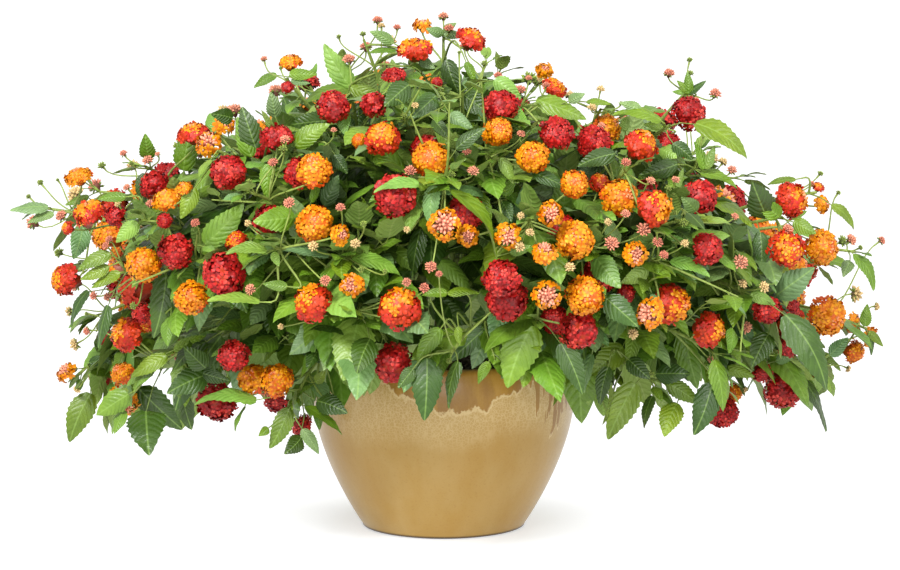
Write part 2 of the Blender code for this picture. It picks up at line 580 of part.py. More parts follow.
def cane_points(group, band, tips):
    """The cane's line: straight down in the soil, a knee over it, and the fork."""
    reach = BANDS[band][2]
    around = azimuth(tips[group[len(group) // 2]])
    out = Vector((math.cos(around), math.sin(around), 0))
    foot = out * reach + UP * SOIL_Z
    target = sum((tips[k] for k in group), Vector()) / len(group)
    knee = foot + out * KNEE_OUT + UP * KNEE_UP
    fork = knee.lerp(target, FORK_PLACE)
    fork.z = max(fork.z, knee.z + FORK_UP)
    return [foot - UP * (HOLE_DEPTH - GAP), foot + UP * PLUMB_OVER_SOIL, knee, fork]


def cane_shape(points, grow=0.0):
    """The straight foot in the soil is plumb, so that it fits a plain hole."""
    radii = (CANE_RADIUS, CANE_RADIUS, (CANE_RADIUS + FORK_RADIUS) / 2, FORK_RADIUS)
    ways = (UP, UP, (points[3] - points[1]).normalized(), (points[3] - points[2]).normalized())
    rings = [ring(points[k], ways[k], radii[k] + grow, CANE_SIDES) for k in range(4)]
    for k in range(1, 4):
        rings[k] = matched(rings[k], rings[k - 1])
    return loft(rings, (BARK,))


def along_line(points, place):
    """The point at this part (0 to 1) of a line, counting each span as equal."""
    spans = len(points) - 1
    k = min(int(place * spans), spans - 1)
    return points[k].lerp(points[k + 1], place * spans - k)


def shoot_points(start, tip, arch, number, attempt):
    """An arching line from the cane to the tip. Each attempt bends it another way."""
    length = (tip - start).length
    middle = (start + tip) / 2 + UP * arch * length
    middle += wobble_vector(number, 100 + 10 * attempt) * length * min(0.04 + 0.012 * attempt, 0.25)
    line = []
    for k in range(len(SHOOT_RADII)):
        t = k / (len(SHOOT_RADII) - 1)
        line.append(start * (1 - t) ** 2 + middle * 2 * t * (1 - t) + tip * t**2)
    return line


def clear_shoot(start, tip, arch, number, owner, taken):
    """The first attempt at a shoot that meets no other cane, or None."""
    for attempt in range(TRIES):
        line = shoot_points(start, tip, arch, number, attempt)
        shape = tube(line, [radius + CLEARANCE for radius in SHOOT_RADII], SHOOT_SIDES, BARK)
        if not crosses(shape, owner, taken):
            take(shape, owner, taken)
            return line
    return None


def grow_stems(taken):
    """Every cane's line, and (cane number, line) of every shoot, none crossing another cane's."""
    tips = shoot_tips()
    groups = cane_groups(tips)
    canes = [cane_points(group, band, tips) for group, band in groups]
    for number, points in enumerate(canes):
        take(cane_shape(points, CLEARANCE), number, taken)
    shoots = []
    for number, (group, band) in enumerate(groups):
        for k, tip_number in enumerate(group):
            start = along_line(canes[number], FIRST_SHOOT - SHOOT_STEP * k)
            line = clear_shoot(start, tips[tip_number], BANDS[band][3], tip_number, number, taken)
            if line:
                shoots.append((number, line))
    return canes, shoots


# Heads and buds

def head_places():
    """(centre, axis, width, kind) of every flower head, each moved along its line of sight until clear."""
    depths = []
    for i, (x, z, _, _, faces) in enumerate(FRONT_HEADS):
        behind = 0.04 if "b" in faces else 0.0
        depths.append(mound_depth(x, z) + behind + 0.012 * wobble(i, 2))
    for _ in range(30):
        for i in range(len(depths)):
            for j in range(i):
                spread_pair(depths, i, j)
    places = []
    for i, (x, z, across, kind, faces) in enumerate(FRONT_HEADS):
        centre = on_view(x, z, depths[i])
        axis = outward(centre) * 0.7 + sum((FACING[letter] for letter in faces), Vector())
        places.append((centre, axis.normalized(), across * 0.01 * nearness(depths[i]), kind))
    for i, spot in enumerate(back_spots(BACK_HEADS, 2.1, HEAD_MARGIN)):
        across = between(BACK_HEAD, i, 3)
        centre = spot + outward(spot) * 0.012 * wobble(i, 4)
        if any((centre - other[0]).length < 0.6 * (across + other[2]) for other in places):
            continue
        axis = outward(centre) + UP * 0.35 + 0.35 * wobble_vector(i, 50)
        kind = KINDS[int(2.5 + 2.49 * wobble(i, 5))]
        places.append((centre, axis.normalized(), across, kind))
    return places


def spread_pair(depths, i, j):
    """Moves two heads that would run into each other a little apart in depth."""
    first, second = FRONT_HEADS[i], FRONT_HEADS[j]
    a, b = on_view(first[0], first[1], depths[i]), on_view(second[0], second[1], depths[j])
    if (a - b).length > 0.005 * (first[2] + second[2]) + 0.001:
        return
    further = i if "b" in first[4] or depths[i] > depths[j] else j
    nearer = j if further == i else i
    depths[further] += 0.004
    depths[nearer] -= 0.001


def roots_for(centre, axis, shoots, shortest, longest):
    """Places on the shoots that a stalk to this point may grow from, the most natural first."""
    found = []
    for number, (owner, line) in enumerate(shoots):
        for k in range(8):
            point = along_line(line, 0.30 + 0.095 * k)
            way = centre - point
            if not shortest < way.length < longest:
                continue
            lean = way.normalized().dot(axis)
            cost = way.length + 0.05 * (1.0 - lean) + (0.1 if lean < 0 else 0.0)
            found.append((cost, number, k, point, owner))
    found.sort(key=lambda item: item[:3])
    return [(item[3], item[4]) for item in found]


def place_first(build_one, centre, choices, taken, grown):
    """Grows the shape from the first root where it clears everything. False where none does."""
    for root, owner in choices:
        bare = build_one(root + (centre - root).normalized() * ROOT_DEPTH, CLEARANCE)
        if not crosses(bare, NOBODY, taken):
            take(bare, owner, taken)
            grown[owner].append(build_one(root, 0.0))
            return True
    return False


def place_head(centre, axis, across, kind, shoots, taken, grown):
    choices = roots_for(centre, axis, shoots, SHORTEST_STALK, LONGEST_STALK)[:14]

    def build_one(root, grow):
        return head(root, centre, axis, across, COLOURS[kind], grow)

    return place_first(build_one, centre, choices, taken, grown)


def grow_heads(shoots, taken, grown):
    """Each head is pushed outwards until it has a clear stalk."""
    for centre, axis, across, kind in head_places():
        for push in range(PUSHES):
            spot = centre + outward(centre) * PUSH_STEP * push
            if place_head(spot, axis, across, kind, shoots, taken, grown):
                break


def grow_buds(shoots, taken, grown):
    """Places each bud, moved along its line of sight until it is clear."""
    for i, (x, z, across) in enumerate(FRONT_BUDS):
        for step in BUD_DEPTH_STEPS:
            depth = mound_depth(x, z) + 0.01 * wobble(i, 6) + step
            centre = on_view(x, z, depth)
            axis = (outward(centre) + Vector((0, -0.2, 0.5))).normalized()
            if place_bud(centre, axis, across * 0.01 * nearness(depth), shoots, taken, grown):
                break


def place_bud(centre, axis, across, shoots, taken, grown):
    choices = roots_for(centre, axis, shoots, SHORTEST_BUD_STALK, LONGEST_BUD_STALK)[:10]

    def build_one(root, grow):
        return bud(root, centre, axis, across, PINK, grow)

    return place_first(build_one, centre, choices, taken, grown)


# Leaves

def front_leaf(entry, depth):
    """(base, tip, normal, width) of a leaf that shows in the picture, at this depth."""
    base = on_view(entry[0], entry[1], depth)
    flat_tip = on_view(entry[2], entry[3], depth)
    shown = (flat_tip - base).length
    width = entry[4] * 0.01 * nearness(depth)
    length = max(shown, min(LEAF_ASPECT * width, LONGEST_LEAF))
    nearer = min(math.sqrt(max(length * length - shown * shown, 0.0)), 0.7 * length)
    tip = on_view(entry[2], entry[3], depth - nearer)
    along = (tip - base).normalized()
    to_eye = (EYE - base).normalized()
    to_eye = (to_eye - along * to_eye.dot(along)).normalized()
    across = along.cross(to_eye)
    if across.z < 0:
        across = -across
    real = max(width, NARROWEST_LEAF * (tip - base).length)
    lean = min(math.acos(min(1.0, width / real)), MOST_LEAN)
    normal = to_eye * math.cos(lean) + across * math.sin(lean)
    return base, tip, normal, real


def front_leaf_roots(entry, shoots):
    """(root, owner) pairs near the line of sight to the leaf's base, the best first."""
    surface = mound_depth(entry[0], entry[1])
    choices = []
    for order, (owner, line) in enumerate(shoots):
        for k in range(9):
            point = along_line(line, 0.17 + 0.1 * k)
            near = on_view(entry[0], entry[1], point.y)
            apart = (near - point).length
            way = on_view(entry[2], entry[3], point.y) - near
            turned_back = 1.0 - (near - point).normalized().dot(way.normalized())
            if LEAST_PETIOLE < apart < MOST_PETIOLE:
                cost = apart + 0.25 * abs(point.y - surface) + 0.01 * turned_back
                choices.append((cost, order, k, point, owner))
    choices.sort(key=lambda item: item[:3])
    return [(item[3], item[4]) for item in choices[:12]]


def place_leaf(root, owner, base, tip, normal, width, taken, grown):
    """Grows the leaf where it clears everything. False where it doesn't."""
    bare = leaf(root + (base - root).normalized() * ROOT_DEPTH, base, tip, normal, width, CLEARANCE)
    if crosses(bare, NOBODY, taken):
        return False
    take(bare, owner, taken)
    grown[owner].append(leaf(root, base, tip, normal, width))
    return True


def place_front_leaf(entry, shoots, taken, grown):
    for root, owner in front_leaf_roots(entry, shoots):
        for step in FRONT_LEAF_STEPS:
            base, tip, normal, width = front_leaf(entry, root.y - step)
            folded = (base - root).normalized().dot((tip - base).normalized()) < -0.1
            if not folded and place_leaf(root, owner, base, tip, normal, width, taken, grown):
                return


def place_back_leaf(number, owner, line, place, turn, taken, grown):
    """A leaf beside the shoot, or past its end where the turn is 0."""
    root = along_line(line, place)
    along = (root - along_line(line, place - 0.15)).normalized()
    side = along.cross(UP).normalized()
    length = between(BACK_LEAF, number, 7)
    for attempt in range(8):
        sway = wobble_vector(number, 300 + 10 * attempt) * 0.4
        way = along - UP * 0.3 + sway
        if turn:
            way = side * (1 if turn % 2 else -1) + along * 0.5 + outward(root) * 0.5 + sway
        way.normalize()
        base = root + way * PETIOLE_REACH + UP * 0.003
        tip = base + way * length - UP * BACK_LEAF_DROOP * length
        normal = outward(root) * 0.6 + UP * 0.8 + sway * 0.5
        if not shows_inside(tip):
            continue
        if place_leaf(root, owner, base, tip, normal, length * BACK_LEAF_WIDTH, taken, grown):
            return


def grow_leaves(shoots, taken, grown):
    for entry in FRONT_LEAVES:
        place_front_leaf(entry, shoots, taken, grown)
    for number, (owner, line) in enumerate(shoots):
        if line[-1].y < BACK_LEAF_FROM_Y:
            continue
        for k, place in enumerate(BACK_LEAF_PLACES):
            place_back_leaf(number * 10 + k, owner, line, place, k, taken, grown)


# Objects

def material(name, colour, roughness):
    made = bpy.data.materials.new(name)
    made.use_nodes = True
    shader = made.node_tree.nodes["Principled BSDF"]
    shader.inputs["Base Color"].default_value = (*colour, 1.0)
    shader.inputs["Roughness"].default_value = roughness
    shader.inputs["Metallic"].default_value = 0.0
    return made


def add_object(name, shape, materials, collection):
    points, faces, tints = shape
    mesh = bpy.data.meshes.new(name)
    mesh.from_pydata(points, [], faces)
    for made in materials:
        mesh.materials.append(made)
    mesh.polygons.foreach_set("material_index", tints)
    made = bpy.data.objects.new(name, mesh)
    collection.objects.link(made)
    return made


def fuse(base, shapes, materials):
    """Joins the shapes to the base object by one union and drops any loose scrap."""
    group = bpy.data.collections.new(base.name + "_growth")
    for k, shape in enumerate(shapes):
        add_object(f"{base.name}_{k}", shape, materials, group)
    union = base.modifiers.new("join", "BOOLEAN")
    union.operation = "UNION"
    union.operand_type = "COLLECTION"
    union.collection = group
    union.solver = "MANIFOLD"
    joined = bpy.data.meshes.new_from_object(base.evaluated_get(bpy.context.evaluated_depsgraph_get()))
    base.modifiers.remove(union)
    base.data = joined
    for item in list(group.objects):
        bpy.data.objects.remove(item)
    bpy.data.collections.remove(group)
    keep_largest(joined)


def keep_largest(mesh):
    shape = bmesh.new()
    shape.from_mesh(mesh)
    pieces = []
    left = set(shape.verts)
    while left:
        piece, edge = set(), [left.pop()]
        while edge:
            point = edge.pop()
            piece.add(point)
            fresh = {e.other_vert(point) for e in point.link_edges} & left
            left -= fresh
            edge += fresh
        pieces.append(piece)
    pieces.sort(key=len)
    for piece in pieces[:-1]:
        bmesh.ops.delete(shape, geom=list(piece), context="VERTS")
    shape.to_mesh(mesh)
    shape.free()


def clear_scene():
    for item in list(bpy.data.objects):
        bpy.data.objects.remove(item)


def cut_holes(soil, canes):
    """One plain hole in the soil for each cane."""
    holes = bpy.data.collections.new("soil_holes")
    bpy.context.scene.collection.children.link(holes)
    wider = CANE_RADIUS + GAP / math.cos(math.pi / CANE_SIDES)
    for number, points in enumerate(canes):
        rings = [ring(end, UP, wider, CANE_SIDES) for end in (points[0] - UP * GAP, points[1])]
        cutter = add_object(f"hole_{number + 1:02d}", loft(rings, (0,)), (), holes)
        cutter.hide_render = True
        cutter.display_type = "WIRE"
    cut = soil.modifiers.new("holes", "BOOLEAN")
    cut.operation = "DIFFERENCE"
    cut.operand_type = "COLLECTION"
    cut.collection = holes


def build():
    clear_scene()
    scene = bpy.context.scene.collection
    glaze = material("glaze", (0.48, 0.32, 0.12), 0.25)
    earth = material("potting_soil", (0.05, 0.032, 0.02), 0.95)
    growth = [
        material("leaf_green", (0.07, 0.20, 0.04), 0.5),
        material("bark", (0.22, 0.25, 0.09), 0.7),
        material("red_florets", (0.60, 0.02, 0.03), 0.5),
        material("orange_florets", (0.95, 0.30, 0.01), 0.5),
        material("pink_buds", (0.55, 0.18, 0.14), 0.6),
    ]
    pot = add_object("pot", pot_shape(), [glaze], scene)
    pot.data.set_sharp_from_angle(angle=math.radians(SHARP_ANGLE))
    soil = add_object("soil", soil_shape(), [earth], scene)
    taken = []
    take(pot_shape(), "pot", taken)
    canes, shoots = grow_stems(taken)
    take(soil_shape(), "soil", taken)
    grown = [[] for _ in canes]
    for owner, line in shoots:
        grown[owner].append(tube(line, SHOOT_RADII, SHOOT_SIDES, BARK))
    grow_heads(shoots, taken, grown)
    grow_buds(shoots, taken, grown)
    grow_leaves(shoots, taken, grown)
    for number, points in enumerate(canes):
        cane = add_object(f"branch_{number + 1:02d}", cane_shape(points), growth, scene)
        fuse(cane, grown[number], growth)
    cut_holes(soil, canes)


build()
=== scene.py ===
"""Looks of the potted lantana: fine leaves, florets, buds, stems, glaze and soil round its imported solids.

The places of canes, shoots, heads, buds and the main leaves are worked out as in the part's source, so that
each fine piece stands where its solid is. Metres, +Z up, the viewer at -Y.
"""

import math
import random

import bpy
import numpy as np
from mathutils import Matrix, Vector
from mathutils.bvhtree import BVHTree


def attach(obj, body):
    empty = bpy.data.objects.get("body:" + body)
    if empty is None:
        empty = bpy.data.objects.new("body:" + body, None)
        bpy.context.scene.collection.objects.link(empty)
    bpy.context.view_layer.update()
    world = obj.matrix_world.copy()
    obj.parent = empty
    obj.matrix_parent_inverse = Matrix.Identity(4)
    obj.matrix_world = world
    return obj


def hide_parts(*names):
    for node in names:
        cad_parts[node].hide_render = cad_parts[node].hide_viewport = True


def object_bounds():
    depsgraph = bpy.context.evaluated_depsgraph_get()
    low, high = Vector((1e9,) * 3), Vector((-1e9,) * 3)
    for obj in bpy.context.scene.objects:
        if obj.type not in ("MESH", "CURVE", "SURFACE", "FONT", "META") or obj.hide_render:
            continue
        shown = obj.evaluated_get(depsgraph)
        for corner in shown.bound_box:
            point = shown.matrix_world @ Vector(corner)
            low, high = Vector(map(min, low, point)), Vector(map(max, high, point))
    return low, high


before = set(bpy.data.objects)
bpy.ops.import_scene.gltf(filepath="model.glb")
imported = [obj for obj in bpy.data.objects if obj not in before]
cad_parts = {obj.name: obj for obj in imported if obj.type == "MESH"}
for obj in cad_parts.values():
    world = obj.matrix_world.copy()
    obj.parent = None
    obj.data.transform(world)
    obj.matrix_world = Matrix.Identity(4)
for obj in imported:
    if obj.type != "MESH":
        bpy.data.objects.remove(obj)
CAD_BOX = [list(corner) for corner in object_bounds()]

# Pot and soil
POT_BASE_RADIUS, POT_WIDEST_RADIUS, POT_WIDEST_Z = 0.087, 0.1445, 0.160
POT_RIM_RADIUS, POT_RIM_Z, POT_WALL, POT_BELLY = 0.141, 0.190, 0.009, 0.9
POT_ROUNDING, POT_FLOOR, RIM_OUTER_DROP, RIM_INNER_DROP = 0.003, 0.012, 0.001, 0.002
POT_SIDES, POT_LEVELS = 26, (0.018, 0.042, 0.075, 0.115, 0.160)
SOIL_Z, SOIL_LEVELS, GAP = 0.172, (0.042, 0.100, 0.155), 0.0003

# Canes and shoots
HOLE_DEPTH, PLUMB_OVER_SOIL, KNEE_OUT, KNEE_UP = 0.050, 0.006, 0.010, 0.036
FORK_PLACE, FORK_UP = 0.38, 0.022
CANE_RADIUS, FORK_RADIUS, CANE_SIDES = 0.0055, 0.0042, 5
SHOOT_RADII, SHOOT_SIDES = (0.0028, 0.0024, 0.0020, 0.0015), 3
FIRST_SHOOT, SHOOT_STEP = 0.97, 0.06
BACK_SHOOTS, BACK_SHOOT_REACH = 27, 0.93
# Share of the shoots, shoots a cane, how far out the cane stands, how much the shoots arch
BANDS = (
    (0.36, 4.6, 0.112, 0.24), (0.30, 4.6, 0.080, 0.14), (0.22, 4.3, 0.048, 0.08), (0.12, 4.0, 0.020, 0.03),
)

# The bush's rounded surface, and the eye point that the picture positions are seen from
MOUND_Z, MOUND_HALF_WIDTH, MOUND_HALF_DEPTH = 0.30, 0.475, 0.43
MOUND_UP, MOUND_DOWN, MOUND_FULLNESS = 0.255, 0.21, 0.55
EYE = Vector((0.007, -3.0, 0.61))
LOWEST_SPOT, FOREMOST_SPOT, SPREAD_OF_LOW_SPOTS, SPOTS_FOR_EACH_KEPT = -0.72, -0.10, 0.6, 2.3
LEAST_REACH, REACH_STEP, OUTLINE_MARGIN, HEAD_MARGIN = 0.5, 0.02, 0.05, 0.20

# Leaves of the solids
PETIOLE_RADIUS, PETIOLE_REACH, LEAF_RIDGE, LEAF_ASPECT, LEAF_ARCH = 0.0008, 0.012, 0.0016, 1.75, 0.32
LONGEST_LEAF, THREE_TEETH_FROM, TWO_TEETH_FROM = 0.085, 0.083, 0.042
TEETH_START, TEETH_SPAN, TOOTH, NOTCH = 0.02, 0.80, 1.09, 0.82
NARROWEST_LEAF, MOST_LEAN = 0.42, 1.2
FRONT_LEAF_STEPS, LEAST_PETIOLE, MOST_PETIOLE = (0.012, 0.020, 0.006, 0.028, 0.036), 0.002, 0.060
BACK_LEAF, BACK_LEAF_PLACES, BACK_LEAF_DROOP = (0.062, 0.079), (0.97, 0.80, 0.80, 0.62), 0.35
BACK_LEAF_WIDTH, BACK_LEAF_FROM_Y = 0.56, -0.02

# Heads and buds
STALK_RADIUS, SHORTEST_STALK, LONGEST_STALK = 0.0011, 0.02, 0.13
HEAD_BANDS, HEAD_DROP, LARGE_HEAD = ((64.0, 1.05, 0.0), (38.0, 0.80, 1.0)), 0.30, 0.034
BACK_HEADS, BACK_HEAD, PUSH_STEP, PUSHES = 78, (0.030, 0.044), 0.006, 6
BUD_STALK_RADIUS, SHORTEST_BUD_STALK, LONGEST_BUD_STALK = 0.0009, 0.012, 0.09
BUD_DEPTH_STEPS = (0.0, -0.012, 0.012, -0.024, 0.024, 0.036)
CLEARANCE, ROOT_DEPTH, NOBODY, TRIES = 0.0004, 0.0035, -1, 40

# Fine leaves: a blade starts a little up its rib, and a petiole reaches a little way under it
BLADE_START, FINE_TOOTH, FINE_NOTCH, PETIOLE_SUNK, PETIOLE_UNDER = 0.012, 1.06, 0.935, 0.0012, 0.002
LEAF_WAVE, TEETH_FORWARD, BLADE_GAP, RIB_DEPTH = 0.03, 0.028, 0.0001, 0.0011
PETIOLE_RADII, PLAIN_ARCH, READ_ARCH, STRONG_ARCH = (0.0011, 0.0008, 0.0006), 0.16, 0.15, 0.26
NODE_STEP, FIRST_NODE, BIG_LEAF, SMALL_LEAF = 0.027, 0.16, (0.044, 0.078), (0.018, 0.036)
LEAF_TRIES, SMALL_BLADE, MOST_HIDING = (1.0, 0.80, 0.62, 0.46), 0.032, 0.06
TWIG_LEAF, END_LEAF = (0.036, 0.060), (0.040, 0.062)
INNER_DEPTH, MIDDLE_DEPTH = 0.60, 0.80

# Fine stems: sides, then radii and lengths
CANE_FINE, SHOOT_FINE, SHOOT_STEPS, STALK_STEPS, STALK_FINE = 10, 7, 22, 9, 6
TWIG_SIDES, TWIG_STEPS, TWIG_RADIUS, TWIG_LENGTH = 5, 8, 0.0010, (0.040, 0.090)
TWIG_FROM, TWIG_SHARE, STALK_REACH = 0.26, 0.72, 0.09

# Fine heads and buds
UPRIGHT_FROM, FLAT_SHARE, LUMPY = 0.80, 0.68, 0.045
BALL_SIDES, BALL_UNDER = 8, 0.60
# The knob's rings, and a painted shade on each: the lower rings are painted darker.
BALL_HEIGHTS, BALL_PAINTED_SHADES = (-0.9, -0.45, 0.1, 0.6, 0.92), (0.50, 0.50, 0.85, 1.0, 1.0)
# Florets by a head's colours: count, the angles from its top that they start and end at, and the core's size
FLORET_RULES = {
    "red": (63, 0.0, 110.0, 0.84), "bi": (60, 8.0, 107.0, 0.89),
    "org": (60, 16.0, 107.0, 0.89), "open": (18, 50.0, 92.0, 0.52),
}
UPRIGHT_WIDEST, SMALL_HEAD, SMALL_HEAD_SHARE = 96.0, 0.028, 0.72
LIMB_SHARE, OPEN_LIMB = 0.262, 0.0056
# One lobe of a floret: turn within the lobe, reach, rise, share of its lift, and paint
FLORET_LOBE = (
    (0.0, 0.46, -0.24, 0.0, 0.22), (0.17, 0.92, -0.06, 1.0, 0.95), (0.50, 1.06, -0.20, 1.0, 1.0),
    (0.83, 0.92, -0.06, -1.0, 0.85), (0.50, 0.60, 0.14, 0.0, 1.08),
)
BACK_BUDS, BACK_BUD, BUD_FROM_HEAD = 60, (0.012, 0.022), 0.03

# What the picture shows stays in sight, and the fill stays inside its outline and in the solids' box
MASK_CELL, BOX_SPARE, POT_CLEAR, LOWEST_LEAF, SHOWN_UP_TO = 0.3, 0.006, 0.004, 0.045, 0.0
EDGE_SPARE, TIP_SPARE = (1.06, 1.18), 1.03
AIRY_FROM, AIRY_RISE, AIRY_ASIDE, AIRY_WIDTH, SIDE_SPARE = 0.15, 0.25, 0.25, 0.12, 0.14

# Pot, soil and studio
POT_FACETS, OUTER_RINGS, INNER_RINGS, LIP_STEPS = 144, 40, 16, 6
FOOT_TRIM, OUTER_TOP, INNER_TOP, LIP_RISE, LIP_SPREAD = 0.0004, 0.1885, 0.187, 0.0012, 0.42
CRUMBS, CRUMB_SIZE, CRUMB_REACH, CRUMB_FLATNESS = 330, (0.0012, 0.0042), 0.124, (0.4, 1.2)
FLOOR_RADIUS, FLOOR_NEAR, FLOOR_SIDES, SHADOW_REACH = 70.0, 2.0, 96, (0.085, 0.23)
WORLD_LIGHT, AIM_LIGHT, AIM_Z = 0.90, (0.0, 0.0, 0.25), 0.2637
# Each lamp: name, place, width, power
LAMPS = (
    ("key", (-1.1, -3.0, 2.5), 1.0, 185.0), ("side", (2.2, -1.8, 1.9), 1.2, 45.0),
    ("front", (0.2, -3.4, 0.35), 1.4, 34.0),
)
SENSOR, FOCAL_PIXELS, PICTURE_PIXELS, CLIP_END = 36.0, 2772.0, 900.0, 300.0

# Colours, as light values. A leaf's letter is its tone, M the plain one.
BARK_BROWN, STEM_GREEN, STEM_LIGHT = (0.15, 0.105, 0.050), (0.15, 0.22, 0.035), (0.24, 0.32, 0.065)
LEAF_TONES = {
    "D": (0.037, 0.082, 0.006), "G": (0.145, 0.248, 0.086), "M": (0.137, 0.247, 0.018),
    "L": (0.184, 0.312, 0.043), "B": (0.138, 0.228, 0.010), "Y": (0.220, 0.310, 0.012),
}
# Blotches of the leaves, and the painted shade in their creases.
LEAF_DARK, LEAF_CREASE_SHADE = (0.66, 0.72, 0.60), (0.5, 0.55, 0.5)
LEAF_PALE, LEAF_RIB = (0.26, 0.40, 0.10), (0.24, 0.38, 0.08)
UNDER_PALE, UNDER_VEIN = (0.24, 0.33, 0.09), (0.36, 0.44, 0.15)
STEM_DARK, PETAL_DARK, BUD_DARK = (0.70, 0.68, 0.62), (0.78, 0.70, 0.70), (0.66, 0.62, 0.60)
RED, RED_DEEP, RED_LIGHT = (0.50, 0.009, 0.008), (0.25, 0.002, 0.003), (0.72, 0.068, 0.045)
ORANGE, YELLOW, ORANGE_RED = (0.69, 0.208, 0.001), (0.75, 0.325, 0.001), (0.62, 0.068, 0.002)
PINK, PINK_DEEP = (0.74, 0.31, 0.19), (0.62, 0.20, 0.13)
TAN, BUD_GREEN = (0.62, 0.45, 0.20), (0.25, 0.34, 0.06)
GLAZE_TAN, GLAZE_PALE = (0.325, 0.192, 0.040), (0.375, 0.245, 0.078)
GLAZE_CLOUD, GLAZE_FLECK = (0.34, 0.18, 0.025), (0.24, 0.12, 0.02)
# Under the rim, the band colours and the pale colour of the band's edge are a painted reflection of the
# leaves in the glaze.
GLAZE_UPPER, CRACKLE, PAINTED_REFLECTION_EDGE = (0.47, 0.33, 0.13), (0.56, 0.42, 0.21), (0.58, 0.44, 0.22)
PAINTED_REFLECTION, PAINTED_REFLECTION_LIGHT = (0.215, 0.098, 0.007), (0.32, 0.165, 0.016)
# Painted shade on the pot's left side, and the near black colour of its very foot.
GLAZE_LEFT_SHADE, GLAZE_DARK = (0.24, 0.125, 0.018), (0.06, 0.035, 0.015)
SOIL_DARK, SOIL_PALE = (0.018, 0.011, 0.007), (0.075, 0.048, 0.030)
FLOOR_SHADE, FLOOR_PALE, WHITE = (0.64, 0.67, 0.74), (0.20, 0.20, 0.20), (1.0, 1.0, 1.0)
NOISE_ROUGHNESS = 0.55

TURN = math.pi * (3.0 - math.sqrt(5.0))
UP = Vector((0.0, 0.0, 1.0))
BUSH_MIDDLE = UP * MOUND_Z
FACING = {"f": (0.0, -1.0, 0.1), "u": (0.0, -0.2, 1.0), "d": (0.0, -0.4, -0.6),
          "l": (-1.0, -0.3, 0.2), "r": (1.0, -0.3, 0.2), "b": (0.0, 0.0, 0.2)}
KINDS = ("red", "bi", "red", "org", "open")


def rows(text):
    """Lists read off the picture, in centimetres across and up: one entry between semicolons."""
    found = []
    for entry in text.split(";"):
        found.append(tuple(float(w) if w[-1].isdigit() else w for w in entry.split()))
    return found


def wobble(number, salt):
    """A repeatable random number from -1 to 1 for one item."""
    return random.Random(number * 7919 + salt).uniform(-1.0, 1.0)


def wobble_vector(number, salt):
    return Vector([wobble(number, salt + axis) for axis in range(3)])


def between(low_high, number, salt):
    low, high = low_high
    return low + (high - low) * (0.5 + 0.5 * wobble(number, salt))


# Places in the bush

def nearness(depth):
    """How large a thing at this depth is beside one of the same picture size at the pot's axis."""
    return (depth - EYE.y) / -EYE.y


def on_view(across, up, depth):
    """The point at this depth (y) that shows at these centimetres across and up."""
    flat = Vector((across * 0.01, 0.0, up * 0.01))
    return EYE + (flat - EYE) * nearness(depth)


def mound_half(rise):
    """The bush's half height on the side of its middle that this rise lies on."""
    return MOUND_UP if rise > 0 else MOUND_DOWN


def mound_depth(across, up):
    """The depth of the bush's front surface where it shows at these centimetres across and up."""
    rise = up * 0.01 - MOUND_Z
    out = (across * 0.01 / MOUND_HALF_WIDTH) ** 2 + (rise / mound_half(rise)) ** 2
    return -MOUND_HALF_DEPTH * max(0.0, 1.0 - out) ** MOUND_FULLNESS


def outward(point):
    """The direction in which the bush's surface faces near this point."""
    rise = point.z - MOUND_Z
    slopes = (point.x / MOUND_HALF_WIDTH**2, point.y / MOUND_HALF_DEPTH**2, rise / mound_half(rise) ** 2)
    return Vector(slopes).normalized()


def back_spots(count, turn, margin):
    """Evenly spread points on the bush's surface, kept where the picture doesn't show it."""
    spots = []
    total = round(count * SPOTS_FOR_EACH_KEPT)
    for i in range(total):
        height = 1.0 - 2.0 * (i + 0.5) / total
        around = i * TURN + turn
        reach = math.sqrt(1.0 - height * height)
        if height < LOWEST_SPOT or reach * math.sin(around) < FOREMOST_SPOT:
            continue
        if height < 0:
            reach **= SPREAD_OF_LOW_SPOTS
        across = reach * math.cos(around) * MOUND_HALF_WIDTH
        depth = reach * math.sin(around) * MOUND_HALF_DEPTH
        spot = Vector((across, depth, MOUND_Z + height * mound_half(height)))
        spots.append(drawn_in(spot, margin))
    return spots


def seen_at(point):
    """The centimetres across and up at which a point shows in the picture."""
    flat = EYE + (point - EYE) / nearness(point.y)
    return flat.x * 100, flat.z * 100


def shows_inside(point):
    """Whether the point shows inside the bush's outline in the picture."""
    across, up = seen_at(point)
    crossings = 0
    for k, (x, z) in enumerate(OUTLINE):
        next_x, next_z = OUTLINE[(k + 1) % len(OUTLINE)]
        if (z > up) != (next_z > up) and across < (next_x - x) * (up - z) / (next_z - z) + x:
            crossings += 1
    return crossings % 2 == 1


def drawn_in(spot, margin):
    """The spot, brought towards the bush's middle until what stands there shows inside the outline."""
    share = 1.0
    while share > LEAST_REACH and not shows_inside(BUSH_MIDDLE + (spot - BUSH_MIDDLE) * (share + margin)):
        share -= REACH_STEP
    return BUSH_MIDDLE + (spot - BUSH_MIDDLE) * share


# The solids' shapes, as points and faces, which only the tests for crossings need

def ring(centre, along, radius, sides, turn=0.0, towards=None):
    """Points round a centre, square to a direction. The first lies towards another one, where it is given."""
    if towards:
        side = along.cross(towards).cross(along).normalized()
    else:
        other = Vector((0.0, 1.0, 0.0)) if abs(along.z) >= 0.9 else Vector((0.13, 0.21, 0.97))
        side = along.cross(other).normalized()
    up = along.cross(side).normalized()
    angles = [2.0 * math.pi * k / sides + turn for k in range(sides)]
    return [centre + radius * (math.cos(a) * side + math.sin(a) * up) for a in angles]


